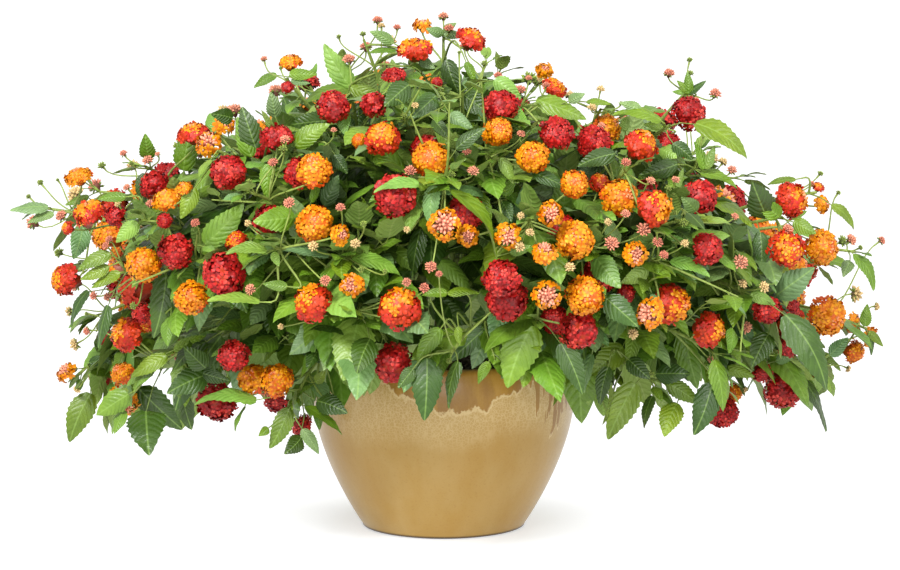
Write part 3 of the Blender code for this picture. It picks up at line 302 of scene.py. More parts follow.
def zipped(first, second):
    """Faces between two rings of point numbers: quads where the counts match, or else triangles."""
    count = len(first)
    if count == len(second):
        pairs = [(k, (k + 1) % count) for k in range(count)]
        return [(first[a], first[b], second[b], second[a]) for a, b in pairs]
    faces = []
    i, j = 0, 0
    steps_i = len(first) if len(first) > 1 else 0
    steps_j = len(second) if len(second) > 1 else 0
    while i < steps_i or j < steps_j:
        here, there = first[i % len(first)], second[j % len(second)]
        if j == steps_j or (i < steps_i and (i + 0.5) * steps_j <= (j + 0.5) * steps_i):
            faces.append((here, first[(i + 1) % len(first)], there))
            i += 1
        else:
            faces.append((here, second[(j + 1) % len(second)], there))
            j += 1
    return faces


def loft(rings):
    """A closed shape through rings of points."""
    points, faces, numbers = [], [], []
    for one in rings:
        numbers.append(list(range(len(points), len(points) + len(one))))
        points += one
    for k in range(len(rings) - 1):
        faces += zipped(numbers[k], numbers[k + 1])
    for end in (numbers[0][::-1], numbers[-1]):
        if len(end) > 2:
            faces.append(tuple(end))
    return points, faces


def tube(points, radii, sides):
    rings = []
    for k, point in enumerate(points):
        before, after = points[max(k - 1, 0)], points[min(k + 1, len(points) - 1)]
        rings.append(ring(point, (after - before).normalized(), radii[k], sides))
    return loft(rings)


def leaf_outline(place):
    """Half width of a leaf at this part of its length, where its widest (at 0.36) is 1."""
    return (1.0 - place) ** 0.8 * place**0.45 / 0.4417


def leaf_sections(teeth):
    """Places along the blade and half widths there: teeth stand out, and the notches between lie in."""
    sections = []
    for k in range(2 * teeth - 1):
        place = TEETH_START + TEETH_SPAN * (k + 1) / (2 * teeth)
        sections.append((place, leaf_outline(place) * (TOOTH if k % 2 == 0 else NOTCH)))
    return sections


def leaf(root, base, tip, normal, width, grow):
    """A leaf on its stalk: flat below, with a low ridge on top, toothed edges and an arched length."""
    along = tip - base
    length = along.length
    teeth = 3 if length > THREE_TEETH_FROM else 2 if length > TWO_TEETH_FROM else 1
    side = along.cross(normal).normalized()
    normal = side.cross(along).normalized()
    stalk = (base - root).normalized()
    rings = [ring(point, stalk, PETIOLE_RADIUS + grow, 3) for point in (root, base)]
    for place, wide in leaf_sections(teeth):
        middle = base + along * place + normal * length * LEAF_ARCH * place * (1.0 - place)
        half = side * (width * 0.5 * wide + grow)
        ridge = normal * (LEAF_RIDGE * (1.0 - 0.5 * place) + grow)
        rings.append([middle + half - normal * grow, middle - half - normal * grow, middle + ridge])
    rings.append([tip + along.normalized() * grow])
    # Each ring starts on the same side, so that the skin between them isn't twisted.
    for k in (1, 0):
        rings[k] = matched(rings[k], rings[k + 1])
    return loft(rings)


def matched(points, other):
    """The ring, started at the point that brings all its points nearest to the other ring's."""
    middle, other_middle = sum(points, Vector()) / len(points), sum(other, Vector()) / len(other)

    def apart(first):
        pairs = zip(points[first:] + points[:first], other)
        return sum(((a - middle).normalized() - (b - other_middle).normalized()).length for a, b in pairs)

    best = min(range(len(points)), key=apart)
    return points[best:] + points[:best]


def head(root, centre, axis, across, grow):
    """A domed flower head of florets on its stalk: one floret on top and rings of them round it."""
    florets = 5 if across > LARGE_HEAD else 4
    radius = across * 0.5 + grow
    low = centre - axis * radius * HEAD_DROP
    neck = low - axis * radius * HEAD_DROP
    stalk = (neck - root).normalized()
    rings = [ring(point, stalk, STALK_RADIUS + grow, 3) for point in (root, neck)]
    # The head's rings start where the stalk's do, so that the skin between them isn't twisted.
    first = rings[1][0] - neck
    for angle, reach, steps in HEAD_BANDS:
        polar = math.radians(angle)
        middle = low + axis * radius * reach * math.cos(polar)
        wide = radius * reach * math.sin(polar)
        rings.append(ring(middle, axis, wide, florets, steps * math.pi / florets, first))
    rings.append([low + axis * radius])
    return loft(rings)


def bud(root, centre, axis, across, grow):
    radius = across * 0.5 + grow
    neck = centre - axis * radius * 0.9
    stalk = (neck - root).normalized()
    rings = [ring(point, stalk, BUD_STALK_RADIUS + grow, 3) for point in (root, neck)]
    rings.append(ring(centre + axis * radius * 0.25, axis, radius, 4, towards=rings[1][0] - neck))
    rings.append([centre + axis * radius])
    return loft(rings)


# Keeping the canes clear of each other

def crossing_tree(shape):
    points, faces = shape
    low = [min(p[k] for p in points) for k in range(3)]
    high = [max(p[k] for p in points) for k in range(3)]
    return low, high, BVHTree.FromPolygons(points, faces)


def crosses(shape, owner, taken):
    """Whether the shape meets one that is there already, leaving out those of one owner."""
    low, high, tree = crossing_tree(shape)
    for other, other_low, other_high, other_tree in taken:
        apart = any(low[k] > other_high[k] or high[k] < other_low[k] for k in range(3))
        if other != owner and not apart and tree.overlap(other_tree):
            return True
    return False


def take(shape, owner, taken):
    taken.append((owner, *crossing_tree(shape)))


def pot_radius(z):
    if z > POT_WIDEST_Z:
        drop = (z - POT_WIDEST_Z) / (POT_RIM_Z - POT_WIDEST_Z)
        return POT_WIDEST_RADIUS - (POT_WIDEST_RADIUS - POT_RIM_RADIUS) * drop * drop
    rise = math.sin(math.pi / 2 * z / POT_WIDEST_Z) ** POT_BELLY
    return POT_BASE_RADIUS + (POT_WIDEST_RADIUS - POT_BASE_RADIUS) * rise


def turned(profile):
    """A closed round shape through (radius, height) pairs."""
    return loft([ring(UP * z, UP, radius, POT_SIDES) for radius, z in profile])


def pot_shape():
    profile = [(POT_BASE_RADIUS - POT_ROUNDING, 0.0), (pot_radius(POT_ROUNDING), POT_ROUNDING)]
    profile += [(pot_radius(z), z) for z in POT_LEVELS]
    profile.append((POT_RIM_RADIUS - RIM_OUTER_DROP, POT_RIM_Z - RIM_OUTER_DROP))
    profile.append((POT_RIM_RADIUS - POT_WALL * 0.5, POT_RIM_Z))
    profile.append((POT_RIM_RADIUS - POT_WALL, POT_RIM_Z - RIM_INNER_DROP))
    profile += [(pot_radius(z) - POT_WALL, z) for z in SOIL_LEVELS[::-1]]
    profile.append((pot_radius(POT_FLOOR) - POT_WALL, POT_FLOOR))
    return turned(profile)


def soil_shape():
    clear = GAP / math.cos(math.pi / POT_SIDES) * 1.5
    profile = [(pot_radius(POT_FLOOR) - POT_WALL - clear, POT_FLOOR + GAP)]
    profile += [(pot_radius(z) - POT_WALL - clear, z) for z in SOIL_LEVELS]
    profile.append((POT_RIM_RADIUS - POT_WALL - clear * 1.5, SOIL_Z))
    return turned(profile)


# Canes and shoots

def azimuth(point):
    return math.atan2(point.y, point.x)


def steepness(point):
    return math.atan2(point.z - SOIL_Z, math.hypot(point.x, point.y))


def shoot_tips():
    tips = []
    for i, (x, z) in enumerate(FRONT_TIPS):
        tips.append(on_view(x, z, mound_depth(x, z) * 0.94 + 0.03 * wobble(i, 1)))
    for spot in back_spots(BACK_SHOOTS, 0.4, OUTLINE_MARGIN):
        tips.append(BUSH_MIDDLE + (spot - BUSH_MIDDLE) * BACK_SHOOT_REACH)
    return tips


def cane_groups(tips):
    """(tips of one cane, band) pairs: neighbours round the bush, in bands from the lowest to the highest."""
    order = sorted(range(len(tips)), key=lambda k: steepness(tips[k]))
    groups = []
    start = 0
    for number, (share, per_cane, _, _) in enumerate(BANDS):
        last = number == len(BANDS) - 1
        end = len(order) if last else start + round(share * len(order))
        band = sorted(order[start:end], key=lambda k: azimuth(tips[k]))
        start = end
        canes = max(1, round(len(band) / per_cane))
        for k in range(canes):
            groups.append((band[k * len(band) // canes : (k + 1) * len(band) // canes], number))
    return groups


def cane_points(group, band, tips):
    """The cane's line: straight down in the soil, a knee over it, and the fork."""
    reach = BANDS[band][2]
    around = azimuth(tips[group[len(group) // 2]])
    out = Vector((math.cos(around), math.sin(around), 0))
    foot = out * reach + UP * SOIL_Z
    target = sum((tips[k] for k in group), Vector()) / len(group)
    knee = foot + out * KNEE_OUT + UP * KNEE_UP
    fork = knee.lerp(target, FORK_PLACE)
    fork.z = max(fork.z, knee.z + FORK_UP)
    return [foot - UP * (HOLE_DEPTH - GAP), foot + UP * PLUMB_OVER_SOIL, knee, fork]


def cane_shape(points, grow=0.0):
    """The straight foot in the soil is plumb, so that it fits a plain hole."""
    radii = (CANE_RADIUS, CANE_RADIUS, (CANE_RADIUS + FORK_RADIUS) / 2, FORK_RADIUS)
    ways = (UP, UP, (points[3] - points[1]).normalized(), (points[3] - points[2]).normalized())
    rings = [ring(points[k], ways[k], radii[k] + grow, CANE_SIDES) for k in range(4)]
    for k in range(1, 4):
        rings[k] = matched(rings[k], rings[k - 1])
    return loft(rings)


def along_line(points, place):
    """The point at this part (0 to 1) of a line, counting each span as equal."""
    spans = len(points) - 1
    k = min(int(place * spans), spans - 1)
    return points[k].lerp(points[k + 1], place * spans - k)


def shoot_points(start, tip, arch, number, attempt):
    """An arching line from the cane to the tip. Each attempt bends it another way."""
    length = (tip - start).length
    middle = (start + tip) / 2 + UP * arch * length
    middle += wobble_vector(number, 100 + 10 * attempt) * length * min(0.04 + 0.012 * attempt, 0.25)
    return start, middle, tip


def on_curve(curve, t):
    start, middle, tip = curve
    return start * (1 - t) ** 2 + middle * 2 * t * (1 - t) + tip * t**2


def clear_shoot(start, tip, arch, number, owner, taken):
    """The first attempt at a shoot that meets no other cane, or None."""
    for attempt in range(TRIES):
        curve = shoot_points(start, tip, arch, number, attempt)
        line = [on_curve(curve, k / (len(SHOOT_RADII) - 1)) for k in range(len(SHOOT_RADII))]
        shape = tube(line, [radius + CLEARANCE for radius in SHOOT_RADII], SHOOT_SIDES)
        if not crosses(shape, owner, taken):
            take(shape, owner, taken)
            return line, curve
    return None


def grow_stems(taken):
    """Every cane's line, and (cane number, line, curve) of every shoot, none crossing another cane's."""
    tips = shoot_tips()
    groups = cane_groups(tips)
    canes = [cane_points(group, band, tips) for group, band in groups]
    for number, points in enumerate(canes):
        take(cane_shape(points, CLEARANCE), number, taken)
    shoots = []
    for number, (group, band) in enumerate(groups):
        for k, tip_number in enumerate(group):
            start = along_line(canes[number], FIRST_SHOOT - SHOOT_STEP * k)
            found = clear_shoot(start, tips[tip_number], BANDS[band][3], tip_number, number, taken)
            if found:
                shoots.append((number, *found))
    return canes, shoots


# Heads and buds

def head_axis(centre, faces):
    """A head looks outwards, and towards where the picture shows it facing."""
    return (outward(centre) * 0.7 + sum((Vector(FACING[letter]) for letter in faces), Vector())).normalized()


def bud_axis(centre):
    """A bud looks outwards and up."""
    return (outward(centre) + Vector((0, -0.2, 0.5))).normalized()


def head_places():
    """(centre, axis, width, kind) of every flower head, each moved along its line of sight until clear."""
    depths = []
    for i, (x, z, _, _, faces) in enumerate(FRONT_HEADS):
        behind = 0.04 if "b" in faces else 0.0
        depths.append(mound_depth(x, z) + behind + 0.012 * wobble(i, 2))
    for _ in range(30):
        for i in range(len(depths)):
            for j in range(i):
                spread_pair(depths, i, j)
    places = []
    for i, (x, z, across, kind, faces) in enumerate(FRONT_HEADS):
        centre = on_view(x, z, depths[i])
        places.append((centre, head_axis(centre, faces), across * 0.01 * nearness(depths[i]), kind))
    for i, spot in enumerate(back_spots(BACK_HEADS, 2.1, HEAD_MARGIN)):
        across = between(BACK_HEAD, i, 3)
        centre = spot + outward(spot) * 0.012 * wobble(i, 4)
        if any((centre - other[0]).length < 0.6 * (across + other[2]) for other in places):
            continue
        axis = outward(centre) + UP * 0.35 + 0.35 * wobble_vector(i, 50)
        kind = KINDS[int(2.5 + 2.49 * wobble(i, 5))]
        places.append((centre, axis.normalized(), across, kind))
    return places


def spread_pair(depths, i, j):
    """Moves two heads that would run into each other a little apart in depth."""
    first, second = FRONT_HEADS[i], FRONT_HEADS[j]
    a, b = on_view(first[0], first[1], depths[i]), on_view(second[0], second[1], depths[j])
    if (a - b).length > 0.005 * (first[2] + second[2]) + 0.001:
        return
    further = i if "b" in first[4] or depths[i] > depths[j] else j
    nearer = j if further == i else i
    depths[further] += 0.004
    depths[nearer] -= 0.001


def roots_for(centre, axis, shoots, shortest, longest):
    """Places on the shoots that a stalk to this point may grow from, the most natural first."""
    found = []
    for number, (_, line, _) in enumerate(shoots):
        for k in range(8):
            place = 0.30 + 0.095 * k
            point = along_line(line, place)
            way = centre - point
            if not shortest < way.length < longest:
                continue
            lean = way.normalized().dot(axis)
            cost = way.length + 0.05 * (1.0 - lean) + (0.1 if lean < 0 else 0.0)
            found.append((cost, number, place, point))
    found.sort(key=lambda item: item[:3])
    return [item[1:] for item in found]


def place_first(build_one, centre, choices, taken):
    """(shoot, place) of the first root where the shape clears everything, or None."""
    for number, place, root in choices:
        bare = build_one(root + (centre - root).normalized() * ROOT_DEPTH)
        if not crosses(bare, NOBODY, taken):
            take(bare, number, taken)
            return number, place
    return None


def grow_heads(shoots, taken):
    """(shoot, place, centre, axis, width, kind) of each head, pushed outwards until its stalk is clear."""
    grown = []
    for centre, axis, across, kind in head_places():
        for push in range(PUSHES):
            spot = centre + outward(centre) * PUSH_STEP * push
            choices = roots_for(spot, axis, shoots, SHORTEST_STALK, LONGEST_STALK)[:14]
            root = place_first(lambda r: head(r, spot, axis, across, CLEARANCE), spot, choices, taken)
            if root:
                grown.append((*root, spot, axis, across, kind))
                break
    return grown


def grow_buds(shoots, taken):
    """(shoot, place, centre, axis, width, kind) of each bud, moved along its line of sight until clear."""
    grown = []
    for i, (x, z, across, kind) in enumerate(FRONT_BUDS):
        for step in BUD_DEPTH_STEPS:
            depth = mound_depth(x, z) + 0.01 * wobble(i, 6) + step
            centre = on_view(x, z, depth)
            axis = bud_axis(centre)
            width = across * 0.01 * nearness(depth)
            choices = roots_for(centre, axis, shoots, SHORTEST_BUD_STALK, LONGEST_BUD_STALK)[:10]
            root = place_first(lambda r: bud(r, centre, axis, width, CLEARANCE), centre, choices, taken)
            if root:
                grown.append((*root, centre, axis, width, kind))
                break
    return grown


# Leaves

def front_leaf(entry, depth):
    """(base, tip, normal, width) of a leaf that shows in the picture, at this depth."""
    base = on_view(entry[0], entry[1], depth)
    flat_tip = on_view(entry[2], entry[3], depth)
    shown = (flat_tip - base).length
    width = entry[4] * 0.01 * nearness(depth)
    length = max(shown, min(LEAF_ASPECT * width, LONGEST_LEAF))
    nearer = min(math.sqrt(max(length * length - shown * shown, 0.0)), 0.7 * length)
    tip = on_view(entry[2], entry[3], depth - nearer)
    along = (tip - base).normalized()
    to_eye = (EYE - base).normalized()
    to_eye = (to_eye - along * to_eye.dot(along)).normalized()
    across = along.cross(to_eye)
    if across.z < 0:
        across = -across
    real = max(width, NARROWEST_LEAF * (tip - base).length)
    lean = min(math.acos(min(1.0, width / real)), MOST_LEAN)
    normal = to_eye * math.cos(lean) + across * math.sin(lean)
    return base, tip, normal, real


def front_leaf_roots(entry, shoots):
    """(shoot, place, root) near the line of sight to the leaf's base, the best first."""
    surface = mound_depth(entry[0], entry[1])
    choices = []
    for number, (_, line, _) in enumerate(shoots):
        for k in range(9):
            place = 0.17 + 0.1 * k
            point = along_line(line, place)
            near = on_view(entry[0], entry[1], point.y)
            apart = (near - point).length
            way = on_view(entry[2], entry[3], point.y) - near
            turned_back = 1.0 - (near - point).normalized().dot(way.normalized())
            if LEAST_PETIOLE < apart < MOST_PETIOLE:
                cost = apart + 0.25 * abs(point.y - surface) + 0.01 * turned_back
                choices.append((cost, number, place, point))
    choices.sort(key=lambda item: item[:3])
    return [item[1:] for item in choices[:12]]


def is_clear(root, base, tip, normal, width, taken):
    bare = leaf(root + (base - root).normalized() * ROOT_DEPTH, base, tip, normal, width, CLEARANCE)
    if crosses(bare, NOBODY, taken):
        return False
    take(bare, NOBODY, taken)
    return True


def place_front_leaf(entry, shoots, taken):
    """(shoot, place, base, tip, normal, width, tone), or None."""
    for number, place, root in front_leaf_roots(entry, shoots):
        for step in FRONT_LEAF_STEPS:
            blade = front_leaf(entry, root.y - step)
            folded = (blade[0] - root).normalized().dot((blade[1] - blade[0]).normalized()) < -0.1
            if not folded and is_clear(root, *blade, taken):
                return number, place, *blade, entry[5]
    return None


def place_back_leaf(seed, number, line, place, turn, taken):
    """A leaf beside the shoot, or past its end where the turn is 0."""
    root = along_line(line, place)
    along = (root - along_line(line, place - 0.15)).normalized()
    side = along.cross(UP).normalized()
    length = between(BACK_LEAF, seed, 7)
    for attempt in range(8):
        sway = wobble_vector(seed, 300 + 10 * attempt) * 0.4
        way = along - UP * 0.3 + sway
        if turn:
            way = side * (1 if turn % 2 else -1) + along * 0.5 + outward(root) * 0.5 + sway
        way.normalize()
        base = root + way * PETIOLE_REACH + UP * 0.003
        tip = base + way * length - UP * BACK_LEAF_DROOP * length
        normal = outward(root) * 0.6 + UP * 0.8 + sway * 0.5
        if shows_inside(tip) and is_clear(root, base, tip, normal, length * BACK_LEAF_WIDTH, taken):
            return number, place, base, tip, normal, length * BACK_LEAF_WIDTH, "M"
    return None


def grow_leaves(shoots, taken):
    grown = [place_front_leaf(entry, shoots, taken) for entry in FRONT_LEAVES]
    for number, (_, line, _) in enumerate(shoots):
        if line[-1].y >= BACK_LEAF_FROM_Y:
            for k, place in enumerate(BACK_LEAF_PLACES):
                grown.append(place_back_leaf(number * 10 + k, number, line, place, k, taken))
    return [one for one in grown if one]


# Outline of the bush: across, up
OUTLINE = rows("""
-47.4 33.6; -41.7 38.2; -35.2 40.4; -28.7 43.5; -21.2 50; -15.8 50.6; -7.6 54.4; -0.2 54.8; 5.1 53.2;
12.8 49; 21.4 45.8; 26.8 50.2; 32.2 40.4; 37.6 38.2; 44.2 31.8; 48.2 30.7; 47.9 18.7; 41.9 9.9; 27.8 9.7;
17 8.8; 6.2 14.9; -2.4 11; -12.2 9.9; -16.5 7.7; -32.4 7.2; -40.4 8.9; -42.7 16; -43.2 27.3""")

# Tips of the front shoots: across, up
FRONT_TIPS = rows("""
-43.5 34.8; -39.5 17; -35.2 27.7; -33 33.5; -32.3 39.3; -31 17.6; -26.8 29.2; -24.5 41; -21 36.5;
-18.3 30.3; -17.8 42; -17 48.8; -15.9 14.5; -11 29.5; -10.1 48; -9.4 23.2; -8.6 53; -4.2 44.5; 0 54;
0.3 38.3; 0.8 18.8; 2 47.4; 5 40.5; 8.8 46.5; 9.3 33.5; 10.2 22.5; 16 30.2; 17 45.5; 20 39; 22.5 16;
23 29; 24.5 43.8; 26 33.5; 26.6 47.8; 27.5 39.3; 29.6 18.8; 32.5 25.6; 36.8 33.8; 36.5 24.5; 40.5 36.5;
40.5 16.8; 44.8 30; 46.3 21.5""")

# Front flower heads: across, up, width, colours, and where each faces (f viewer, u up, d down, l left,
# r right, b behind its neighbours)
FRONT_HEADS = rows("""
-27.2 43.2 3.7 bi u; -25.5 42 3.2 open uf; -23.6 43.9 2.4 open r; -23.5 38.8 4 red f;
-39.7 38.5 3.2 org u; -38.6 34.6 3.8 bi u; -35.9 34 2.6 red l; -31.5 37.6 3.4 red b; -30.2 36 3.4 org u;
-28.2 37.1 2 org u; -41 32.6 1.6 bi l; -30.4 33.4 1.8 red f; -29.3 30.1 4 red f; -32.8 28.7 4 org f;
-41.5 27 3.6 bi l; -24.2 27.5 4.9 red f; -27.6 25.1 3.9 org fu; -34.9 21 3.9 bi ul;
-33.1 23.2 2.4 red b; -35.3 16.7 2.8 org u; -35.4 15.8 4 red b; -35.1 13.4 4.2 open f;
-41.3 16.9 2.6 open u; -23.1 18.3 3.6 red f; -25 13.3 4.6 red f; -21 16.2 3.6 org u; -18.3 16 3.8 org u;
-18.4 13.3 2.8 red b; -15.4 10.8 2.6 red r; -5.6 17.5 4.6 red f; -14.6 24.6 4.5 bi ul;
-4.9 24.2 4.9 bi u; -10.1 26.3 2.8 open f; -22.6 31.3 2.6 bi b; -14 33.2 4.2 org f;
-11.2 31.9 2.4 open r; -19 33.6 3.6 red b; -16 38.8 3.6 red l; -14.1 39.2 4 org uf;
-18.2 42.9 3.8 red u; -16.6 50.8 2.8 org u; -16.9 47.9 1.5 red f; -11.9 46 3.7 red f; -7.6 46.2 3 red f;
-6.6 42.6 4 bi uf; -9.2 42.2 1.8 org f; -5.3 49.5 2.8 red u; -3.1 52.3 4 bi u; -2.3 54.6 2.2 open u;
3.1 53.4 3.6 bi ur; -0.7 48.5 1.2 red f; 10.9 49.8 1.8 open f; 12.2 48 3 bi ur; 6.2 46 4 red f;
6 43.2 3.3 org f; 12.2 43.1 3.8 red fu; 16.3 42.1 3.8 red f; 17.9 43.6 3.2 org rb;
-2.4 41.7 3.2 red ulb; -1.4 40.2 4.2 org f; 9.6 40.4 3.7 org f; 21.5 41.9 3.9 bi ur;
24.5 42.4 2.4 red b; 26.6 45.4 3.9 red f; 14.3 37.5 3.2 org f; 17.1 37.7 2.4 bi b; 19.4 36 4.2 org fr;
23.2 34.9 4.2 bi r; 28.4 36.2 3.9 red r; -5.3 36.4 4.8 red f; 2.5 34.5 4.2 red f; 0.1 33.1 4.2 open f;
2.6 31.7 2.4 open f; 7 31.7 3.2 open f; 11.7 34.2 3 open f; 14.3 31.4 4.4 org f; 12.9 32.7 3.4 red b;
11 30.1 3 open u; 6.2 27 4.2 red f; 6.9 24.6 4.8 red f; 11.3 25.2 3.6 open f; 15.6 25.1 4.4 org f;
17 27.4 4 red b; 14.9 21.3 4.4 red f; 12.3 22.4 3.2 red b; 20.9 29.7 2.9 open f; 25.1 24.3 4.6 bi r;
22.4 23.2 3.8 open l; 29 30.3 3.8 red r; 29.3 21.4 4 bi r; 20 25.4 2.2 red b; 35.4 23.5 3.2 red f;
38 35.8 4.1 bi r; 40.7 37.2 1.6 bi u; 41.2 35.2 1.9 open r; 37.6 30.3 4.2 bi f; 41.4 30.5 4 org f;
42.2 22.8 4.4 org f; 44.8 22.2 2.4 open r; 45 18.9 2.7 org r; 37.3 14.5 4.3 red f; 38.1 19.7 3 red b;
40.7 16 2.4 org b; 35 16.6 2.6 red b; 38.2 24 1.8 red b; 30.9 12 3.6 red dr; 31.9 14.4 2.4 org r""")

# Bud heads: across, up, width, p pink, g green or t tan. The first list is in the solids as well.
FRONT_BUDS = rows("""
-34.7 40.8 1 p; -32.1 40.1 1.4 p; -43.8 37.6 0.9 g; -45.1 36.1 0.7 g; -41.6 34 1.5 p; -36.4 31.4 1.1 p;
-38.2 25.2 1.1 p; -39 21.3 1.1 p; -19.4 51 0.9 p; -10.2 51 1.6 p; -7.1 55.2 1.3 p; -17.2 42.3 1.3 p;
0 55.6 1.3 p; 8.3 47.7 1.5 p; 3.2 38.9 1.5 p; -3.6 38.9 1.5 p; 24.4 49.5 1.4 p; 29.4 47.3 1.5 p;
26.6 50.9 0.8 g; 31.3 39 1.3 p; -16.8 35.4 1.5 p; -12.9 26.9 1.4 p; 21.8 32.5 1.9 p; 18.3 31 1.9 p;
32.4 28.9 2 p; 33.1 21.7 1.6 p; 37.4 37.2 1.4 p; 44.4 31.4 1.5 p; 47.7 31.3 1.1 p; 47.3 24 1 t;
-19.6 14.6 1.6 p; -12.2 12.8 1.4 p""")
MORE_BUDS = rows("""
-33.9 39.7 0.7 g; -31 40.7 0.7 p; -37.1 39.5 1.1 g; -41.9 37.9 0.5 g; -34.4 37.1 1 p; -35.4 35.3 0.9 t;
-31.9 35.3 1.2 p; -36.8 30.7 1 p; -33.6 28.4 1.4 p; -36.7 25.1 1.1 p; -39 23.2 0.6 g; -40.2 14.8 1 t;
-33.9 24.1 1 g; -17.6 50 0.5 g; -11.3 53.4 0.7 g; -8.7 53.7 0.8 g; -6.7 54.6 0.9 t; -5 54.4 1 p;
-11.9 43.3 0.8 p; -18.5 39.8 1.3 p; -17.4 41.3 1.2 g; 0.6 54.3 1.3 p; 4.4 50.5 1 g; 1.7 51.7 0.5 g;
5.9 49.2 1.1 p; 9.2 48.9 0.9 p; 11.1 48.2 0.9 p; 8.4 42.9 1.1 p; 2.5 41 1.2 p; -4.3 44.9 0.9 g;
-3.1 46 1 t; 0.8 38.5 1.2 g; 26.7 49.5 0.8 g; 17 47.8 1 t; 16.1 45.8 1.2 t; 19.2 46.2 0.6 g;
19.8 39.8 1.3 p; 22.5 37.8 1.2 p; 25.2 37.9 1.1 p; 17.1 43.8 1 p; -21.1 25.9 1.4 p; -11.2 34.9 1.2 p;
-14.2 30.7 1.3 t; -9.6 31 1.3 t; -8.7 33.1 0.9 g; -21.3 33.2 0.9 t; -9 28.1 0.9 g; -6.4 27.9 0.7 g;
-21.1 37.7 0.9 g; -27 33.2 1.2 p; -4 32.5 0.9 t; -1.4 28.4 1.5 p; -0.5 27.6 0.9 p; -2.1 26.1 1.3 p;
-4 26.7 1.2 p; 8.4 34 1 t; 9.4 32.2 1.1 t; 8.3 30.6 1.3 t; 13.8 28.4 1.3 t; 23.3 31.1 1.4 p;
24 29.7 1.2 p; 19.8 34.2 1.2 p; 17.9 33.3 1 t; 26.3 31 1.1 t; 32.7 26.6 1.2 t; 35 26.2 1.4 t;
20.7 21 1.4 t; 26.1 33.3 1.2 g; 31.7 33.9 1 p; 24.4 37 0.9 g; 37.5 32.5 1.5 p; 40.9 38.6 0.8 g;
42.9 36.5 0.7 g; 40 37.5 0.7 p; 45.4 30.5 0.7 g; 44.3 17.1 0.9 t; 33 14.8 0.9 t; 46.3 20.5 0.7 g;
-17.8 21.8 0.8 t; 0.6 18 0.8 g; 22.6 16.5 1.2 g; 24.8 14.8 1.1 g; 29.2 18.2 0.9 p""")

